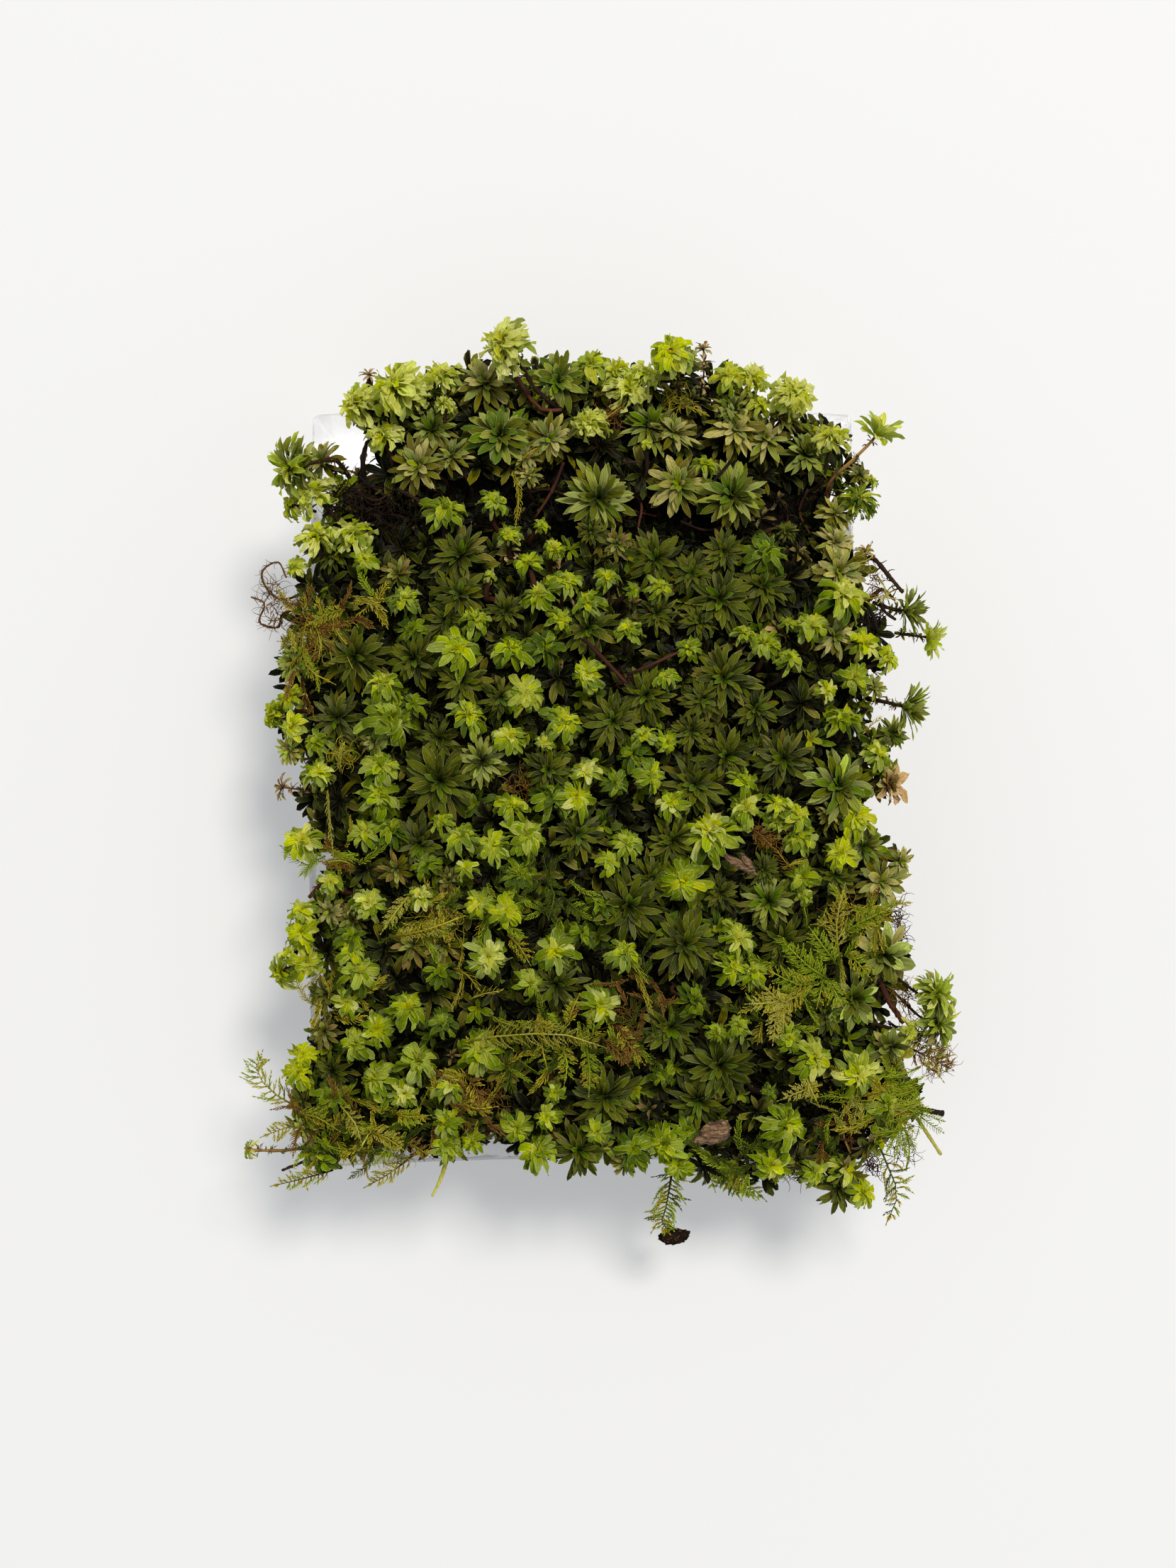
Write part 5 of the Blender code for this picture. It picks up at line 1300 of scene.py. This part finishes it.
# Below each rosette a stem goes down into the felt, with a few old leaves
below = {"inward": (0.05, 0.16), "depth": (0.011, 0.016), "thick": (0.00035, 0.0006), "dried": 0.12,
         "leaves": 0.0032, "overRim": 0.0375, "overTray": 0.026}
litter = {"density": 2.6e5, "sink": 0.0052, "lowest": 0.0386, "radius": 0.0030, "dried": 0.10}
chance = np.random.default_rng(seeds["stems"])
strands, hairs, oldLeaves = [], [], []
for place, aim, radius in stemTops:
    inward = Vector((-place.x, -place.y, 0)) * chance.uniform(*below["inward"])
    middle = place - aim * 0.005 + inward * 0.4 + shake(chance, 0.0008)
    low = place - Vector((0, 0, chance.uniform(*below["depth"]))) + inward + shake(chance, 0.0015)
    outside = max(abs(low.x) / 0.056, abs(low.y) / 0.078) > 1
    low.z = max(low.z, below["overRim" if outside else "overTray"])
    thick = chance.uniform(*below["thick"])
    tone = "stem" if chance.uniform() < 0.6 else "redStem"
    addStem(strands, [place, middle, low], thick, thick * 1.2, tone, chance)
    spot = place.lerp(low, 0.45)
    lean = (aim + shake(chance, 0.4)).normalized()
    kind = "T" if chance.uniform() < below["dried"] else "U"
    addRosette(oldLeaves, spot, lean, below["leaves"], kind, chance, 0.5)
for spot, halfX, halfY, deep in hollowSpots:  # litter on the floor of the hollows
    for index in range(int(halfX * halfY * litter["density"])):
        x, y = spot.x + halfX * jitter(chance, 0.9), spot.y + halfY * jitter(chance, 0.9)
        low = Vector((x, y, max(domeHeight(x, y) - litter["sink"] - hollowDepth(x, y), litter["lowest"])))
        lean = Vector((*chance.normal(size=2) * 0.5, 1)).normalized()
        # Most litter wears the near-black shade tone: painted shade on the hollows' floor
        kind = "X" if chance.uniform() < litter["dried"] else "N"
        addRosette(oldLeaves, low, lean, litter["radius"], kind, chance, 0.4)
# Stems that lie across the hollows: half thickness, tone, then across, down and height above the cushion
# in millimetres
lyingStems = readTable("""
    .0005 redStem 822,900,3 852,930,2.2 885,965,1
    .00037 redStem 885,952,2.2 918,938,3.2 957,920,2.6
    .00031 stem 870,657,2.6 888,652,3.2 905,652,2.4
    .00043 redStem 795,652,.5 780,690,-3 755,730,-6
    .00043 black 1030,652,3.4 1016,668,3.6 1002,685,2
    .00056 redStem 708,488,1 728,530,.5 760,575,1.5 792,578,1
    .00037 stem 735,700,-4 770,690,-6 815,705,-6
    .00037 redStem 890,690,-3 905,712,-6 900,745,-7
    .00043 redStem 1164,727,-2 1167,700,.5 1178,664,1.5
    .00037 stem 960,735,-5 995,748,-6 1030,740,-3
    .00037 stem 560,690,1 590,706,-1 620,730,-3
    .00034 redStem 1060,770,-3 1090,745,-7 1135,735,-8
    .0003 stem 1096,700,-2 1112,726,-6 1100,762,-7
    .0003 redStem 1140,690,-1 1128,722,-5 1146,758,-6
    .00034 stem 640,762,-5 668,742,-7 706,748,-6
    .00028 redStem 870,690,-5 884,716,-8 926,728,-8
    .00043 black 505,672,0 530,690,-1 560,712,-3
    .0004 black 500,690,.5 478,712,0 455,728,-.5
    .00036 black 502,688,.5 510,716,-1 508,748,-2.5
    .00032 stem 498,692,.5 530,706,-.5 556,690,-1
    .0003 black 488,676,.5 470,700,.5 452,712,0
    .00037 black 470,705,0 510,716,-1.5 545,740,-3
    .0005 black 1214,846,1 1230,864,2 1238,890,1
    .00044 stem 1240,846,1 1248,862,2 1264,874,2
    .00036 black 1222,868,0 1226,884,1 1216,900,0
    .00025 limeStem 1280,1600,0 1283,1624,-1 1278,1652,-2
    .00034 redStem 1150,1626,-1 1178,1608,0 1214,1612,0
    .0003 caneStem 1196,1566,.5 1190,1600,0 1204,1636,-1
    .00025 straw 495,1640,1 508,1620,2 520,1600,2
""")
for thick, tone, *stops in lyingStems:
    path = [onDome(a, d, h / 1000) for a, d, h in stops]
    addStem(strands, path, thick, thick * 0.75, tone, chance)
    tangle(0.6, hairs, path, thick, chance)
# Rootlets: across, down, height above the cushion in millimetres, half sizes, how many, how long, tone
# and half thickness
frizzes = readTable("""
    384 842 0 .004,.0054,.0018 44 .0055 rust .0001
    392 872 -.5 .004,.003,.0015 30 .0045 rust .0001
    1236 828 0 .0026,.0046,.0016 50 .003 rust .00011
    1220 790 .5 .0024,.003,.0014 30 .0026 straw .0001
    1232 872 .5 .0034,.0036,.002 50 .0034 stem .00014
    1277 1408 0 .0024,.0036,.0015 40 .006 rust .0001
    1296 1462 0 .0034,.0044,.0016 36 .0055 rust .0001
    1322 1496 0 .004,.0044,.0015 90 .0048 rust .00011
    1290 1466 0 .003,.004,.0015 40 .0045 redStem .00013
    1262 1290 .5 .0026,.0046,.0016 44 .005 rootHair .00011
    1270 1325 .3 .0018,.005,.0012 36 .004 stem .00012
    482 1067 1.5 .0036,.0036,.0012 50 .004 gold .0001
    470 905 1.8 .0056,.0056,.0012 90 .005 gold .00011
    440 880 1.5 .0044,.0044,.0012 70 .0045 rust .0001
    730 1105 -1 .004,.0036,.0016 46 .004 rust .00012
    882 962 1 .0024,.0016,.001 24 .003 redStem .00012
    1080 1180 1.5 .0044,.0034,.0012 60 .004 rust .00012
    1190 1290 .5 .004,.0044,.0012 46 .0045 rust .0001
    1275 1620 -.5 .0034,.0044,.002 46 .005 rootHair .0001
    1230 1632 -.5 .0024,.0054,.002 46 .0055 redStem .00013
    1120 1655 0 .005,.0024,.0016 40 .0045 rootHair .00011
    540 1632 0 .009,.0022,.0016 80 .005 gold .0001
    690 1545 0 .004,.004,.0016 50 .004 rust .00011
    878 1440 .5 .004,.005,.0014 60 .0045 rust .00011
    620 1300 1.2 .009,.003,.0012 70 .0045 gold .0001
    560 720 -3.5 .014,.005,.003 90 .006 stem .00015
    492 704 -.3 .008,.005,.0018 120 .0055 stem .00014
    770 704 -9 .011,.006,.004 60 .008 black .00018
    905 715 -9 .009,.006,.004 50 .008 stem .00018
    1120 720 -9 .007,.006,.004 50 .007 black .00018
    1082 965 -8 .005,.007,.003 40 .007 black .00016
    952 560 1 .005,.004,.0015 46 .005 gold .0001
    860 588 1.5 .004,.004,.0012 46 .0035 rust .0001
""")
for across, down, height, *frizz in frizzes:
    addFrizz(hairs, onDome(across, down, height / 1000), *frizz, chance)
addPiece("stems_below", [growStrands(strands, stemFinish, 5, 8)], "dead_stems", "moss_cushion")
addPiece("rootlets", [growStrands(hairs, stemFinish, 3, 6)], "dead_stems", "moss_cushion")
addPiece("leaves_old", [growLeaves(oldLeaves, dryLeaf, *grids["litter"])], "dried_leaves", "moss_cushion")

print("soil, felt and litter")
# The root mat's outline on the tray's floor; its back left corner is missing
matOutline = readPoints("""
    -.0568,.056 -.0545,.066 -.05,.072 -.042,.0748 -.025,.078 0,.0792 .026,.0786 .044,.0768 .053,.073 .056,.064
    .0566,.03 .057,0 .0566,-.04 .0562,-.074 .052,-.0792 .024,-.0786 0,-.078 -.026,-.0784 -.052,-.0792
    -.056,-.074 -.0552,-.04 -.0545,-.015 -.056,.015 -.0566,.04
""")


def reachOf(shape, direction):  # how far the outline lies from the middle in this direction
    best = 0.0
    for first, last in zip(shape, shape[1:] + shape[:1]):
        edge = (last[0] - first[0], last[1] - first[1])
        cross = direction[0] * edge[1] - direction[1] * edge[0]
        if abs(cross) < 1e-12:
            continue
        along = (first[0] * edge[1] - first[1] * edge[0]) / cross
        part = (first[0] * direction[1] - first[1] * direction[0]) / cross
        if along > 0 and -1e-6 <= part <= 1 + 1e-6:
            best = max(best, along)
    return best


def fillOutline(name, shape, fill, topHeight, bottomHeight, finish, slot, node):
    inset, rough = fill.get("inset", 0.0), fill["rough"]
    bm = bmesh.new()
    bmesh.ops.create_cube(bm, size=2)
    bmesh.ops.subdivide_edges(bm, edges=bm.edges[:], cuts=fill["cuts"], use_grid_fill=True)
    known = {}
    for vertex in bm.verts:
        u, v, w = vertex.co
        spread = max(abs(u), abs(v))
        x, y = 0.0, 0.0
        if spread > 1e-6:
            angle = math.atan2(v / spread * 0.08, u / spread * 0.058)
            key = round(angle, 4)
            if key not in known:
                known[key] = reachOf(shape, (math.cos(angle), math.sin(angle)))
            distance = (known[key] - inset) * spread
            x, y = distance * math.cos(angle), distance * math.sin(angle)
        low, high = bottomHeight(x, y), topHeight(x, y)
        z = low + (high - low) * (w + 1) / 2
        spot = Vector((x * 260, y * 260, z * 260))
        pushed = rough * (noise.noise(spot) + 0.5 * noise.noise(spot * 2.3) - 0.9)
        if spread > 0.999:  # walls move inward only
            middle = Vector((x, y, 0)).normalized()
            x, y = x + middle.x * pushed, y + middle.y * pushed
        if w > 0.999:
            z += rough * 1.2 * (noise.noise(spot * 1.4) + 0.4 * noise.noise(spot * 4))
        vertex.co = (x, y, z)
    bmesh.ops.recalc_face_normals(bm, faces=bm.faces)
    placeSolid(name, bm, finish, slot, node)


# Half sizes, top and bottom, how much the top sags to the edge, its lumps and the walls' roughness
mat = {"half": (0.057, 0.080), "top": 0.0205, "bottom": 0.0009, "sag": 0.0035, "lumps": 0.0022,
       "rough": 0.0005, "cuts": 36}
trayFill = {"inset": 0.0030, "top": 0.0368, "rough": 0.0009, "cuts": 28}
rimFill = {"inset": 0.0042, "sink": 0.0062, "lowest": 0.0378, "bottom": 0.0370, "rough": 0.0008, "cuts": 46}


def matTop(x, y):
    edge = max(abs(x) / mat["half"][0], abs(y) / mat["half"][1])
    lump = mat["lumps"] * noise.noise(Vector((x * 75, y * 75, 3.1)))
    return mat["top"] - mat["sag"] * max(0, edge - 0.7) / 0.3 + lump


def rimFillTop(x, y):
    return max(domeHeight(x, y) - rimFill["sink"] - hollowDepth(x, y), rimFill["lowest"])


fillOutline("soil_and_roots", matOutline, mat, matTop, lambda x, y: mat["bottom"], dampSoil, "soil",
            "root_mat")
fillOutline("felt_in_tray", matOutline, trayFill, lambda x, y: trayFill["top"],
            lambda x, y: matTop(x, y) - 0.001, trayFelt, "moss_leaves", "moss_cushion")
# Its near-black colour is painted shade
fillOutline("felt_over_rim", [tuple(spot) for spot in outline], rimFill, rimFillTop,
            lambda x, y: rimFill["bottom"], paintedShadeFelt, "moss_leaves", "moss_cushion")

# Pressed against the clear walls: brown stems, old leaves and root hairs
wallStems = {"count": 420, "foot": (0.004, 0.020), "top": (0.030, 0.0375), "inward": (0.0004, 0.0022)}
wallHairs = {"count": 260, "height": (0.0025, 0.0200), "length": (0.003, 0.008), "thick": 0.00014}
chance = np.random.default_rng(seeds["tray"])
strands, hairs, oldLeaves = [], [], []
for index in range(wallStems["count"]):
    angle = 6.283 * (index + chance.uniform()) / wallStems["count"]
    direction = (math.cos(angle), math.sin(angle))
    distance = reachOf(matOutline, direction) - chance.uniform(*wallStems["inward"])
    foot = Vector((distance * direction[0], distance * direction[1], chance.uniform(*wallStems["foot"])))
    top = Vector((foot.x, foot.y, 0)) * chance.uniform(0.985, 1.0)
    top += Vector((0, 0, chance.uniform(*wallStems["top"])))
    along = Vector((-direction[1], direction[0], 0))
    top += along * jitter(chance, 0.005)
    middle = foot.lerp(top, 0.5) + along * jitter(chance, 0.002)
    tone = pick(chance, ("redStem", "stem", "rootHair", "caneStem", "straw")) if index % 3 else "redStem"
    strands.append(([foot, middle, top], chance.uniform(0.0001, 0.0005), 0.0002, tone, index % 6))
    if foot.z > 0.008:
        height = chance.uniform(0.018, 0.036)
        spot = foot.lerp(top, min(1, max(0, (height - foot.z) / (top.z - foot.z))))
        aim = Vector((direction[0] * 0.8, direction[1] * 0.8, 1)).normalized()
        addRosette(oldLeaves, spot, aim, 0.0030, ("T", "O", "X", "O")[index % 4], chance, 0.36)
for index in range(wallHairs["count"]):
    angle = chance.uniform(0, 6.283)
    direction = (math.cos(angle), math.sin(angle))
    distance = reachOf(matOutline, direction) + jitter(chance, 0.0003)
    spot = (distance * direction[0], distance * direction[1], chance.uniform(*wallHairs["height"]))
    addFrizz(hairs, spot, (0.0004, 0.0004, 0.0010), 1, chance.uniform(*wallHairs["length"]),
             ("rootHair", "stem", "caneStem")[index % 3], wallHairs["thick"], chance)


def keepIn(points):  # nothing grows through the tray's wall
    low = points[:, 2] < trayShape["rim"]
    for side, half in enumerate((trayShape["halfWidth"], trayShape["halfLength"])):
        most = half - trayShape["clear"]
        points[low, side] = np.clip(points[low, side], -most, most)
    points[:, 2] = np.maximum(points[:, 2], trayShape["floor"])
    return points


groups = [growStrands(strands, stemFinish, 4, 7), growStrands(hairs, stemFinish, 3, 7)]
addPiece("stems_in_tray", [(keepIn(g[0]), *g[1:]) for g in groups], "dead_stems", "moss_cushion")
group = growLeaves(oldLeaves, dryLeaf, *grids["litter"])
addPiece("leaves_in_tray", [(keepIn(group[0]), *group[1:])], "dried_leaves", "moss_cushion")


print("loose bits")


def addLump(name, at, bits, seed, finish, slot, node):
    place = reach(*at)
    bm = bmesh.new()
    for offset, size, turn in bits:
        made = bmesh.ops.create_icosphere(bm, subdivisions=4, radius=1)["verts"]
        for vertex in made:
            spot = vertex.co.copy()
            rough = 1 + 0.22 * noise.noise(spot * 1.9 + Vector((seed, turn, 0)))
            rough += 0.16 * noise.noise(spot * 4.6 + Vector((0, seed, 0))) + 0.08 * noise.noise(spot * 11)
            rough += 0.10 * noise.noise(Vector((spot.x * 2, spot.y * 9, spot.z * 9 + seed)))
            vertex.co = Vector([c * s * rough for c, s in zip(spot, size)])
        aim = Vector((math.cos(turn), math.sin(turn), 0)).to_track_quat("X", "Z").to_matrix()
        bmesh.ops.rotate(bm, matrix=aim, verts=made)
        bmesh.ops.translate(bm, vec=place + Vector(offset), verts=made)
    placeSolid(name, bm, finish, slot, node)


# Where the photograph shows each loose bit, and the lumps it is made of: offset, half sizes and turn
looseBits = {
    "bark_flake": {"at": (1042, 1219, 0.0560), "seed": 2, "finish": bark, "slot": "bark", "node": "bark_chip",
                   "bits": [((0, 0, 0), (0.0042, 0.0008, 0.0008), -0.55),
                            ((0.0018, 0.0004, 0.0002), (0.0022, 0.0007, 0.0008), -0.95)]},
    "earth_lump": {"at": (1008, 1598, 0.0485), "seed": 5, "finish": bark, "slot": "bark", "node": "soil_lump",
                   "bits": [((0, 0, 0), (0.0034, 0.0023, 0.0020), 0.3),
                            ((-0.0022, -0.0012, 0), (0.0024, 0.0012, 0.0014), 0.2),
                            ((0.0016, 0.0010, 0.0002), (0.0018, 0.0015, 0.0017), 1.2)]},
    "earth_crumb": {"at": (951, 1744, 0.0235), "seed": 9, "finish": crumbSoil, "slot": "soil",
                    "node": "soil_crumb", "bits": [((0, 0, 0), (0.0034, 0.0017, 0.0016), 0.1),
                                                   ((-0.0012, 0.0004, 0), (0.0018, 0.0014, 0.0016), 0.9)]},
}
for name, bit in looseBits.items():
    addLump(name, **bit)
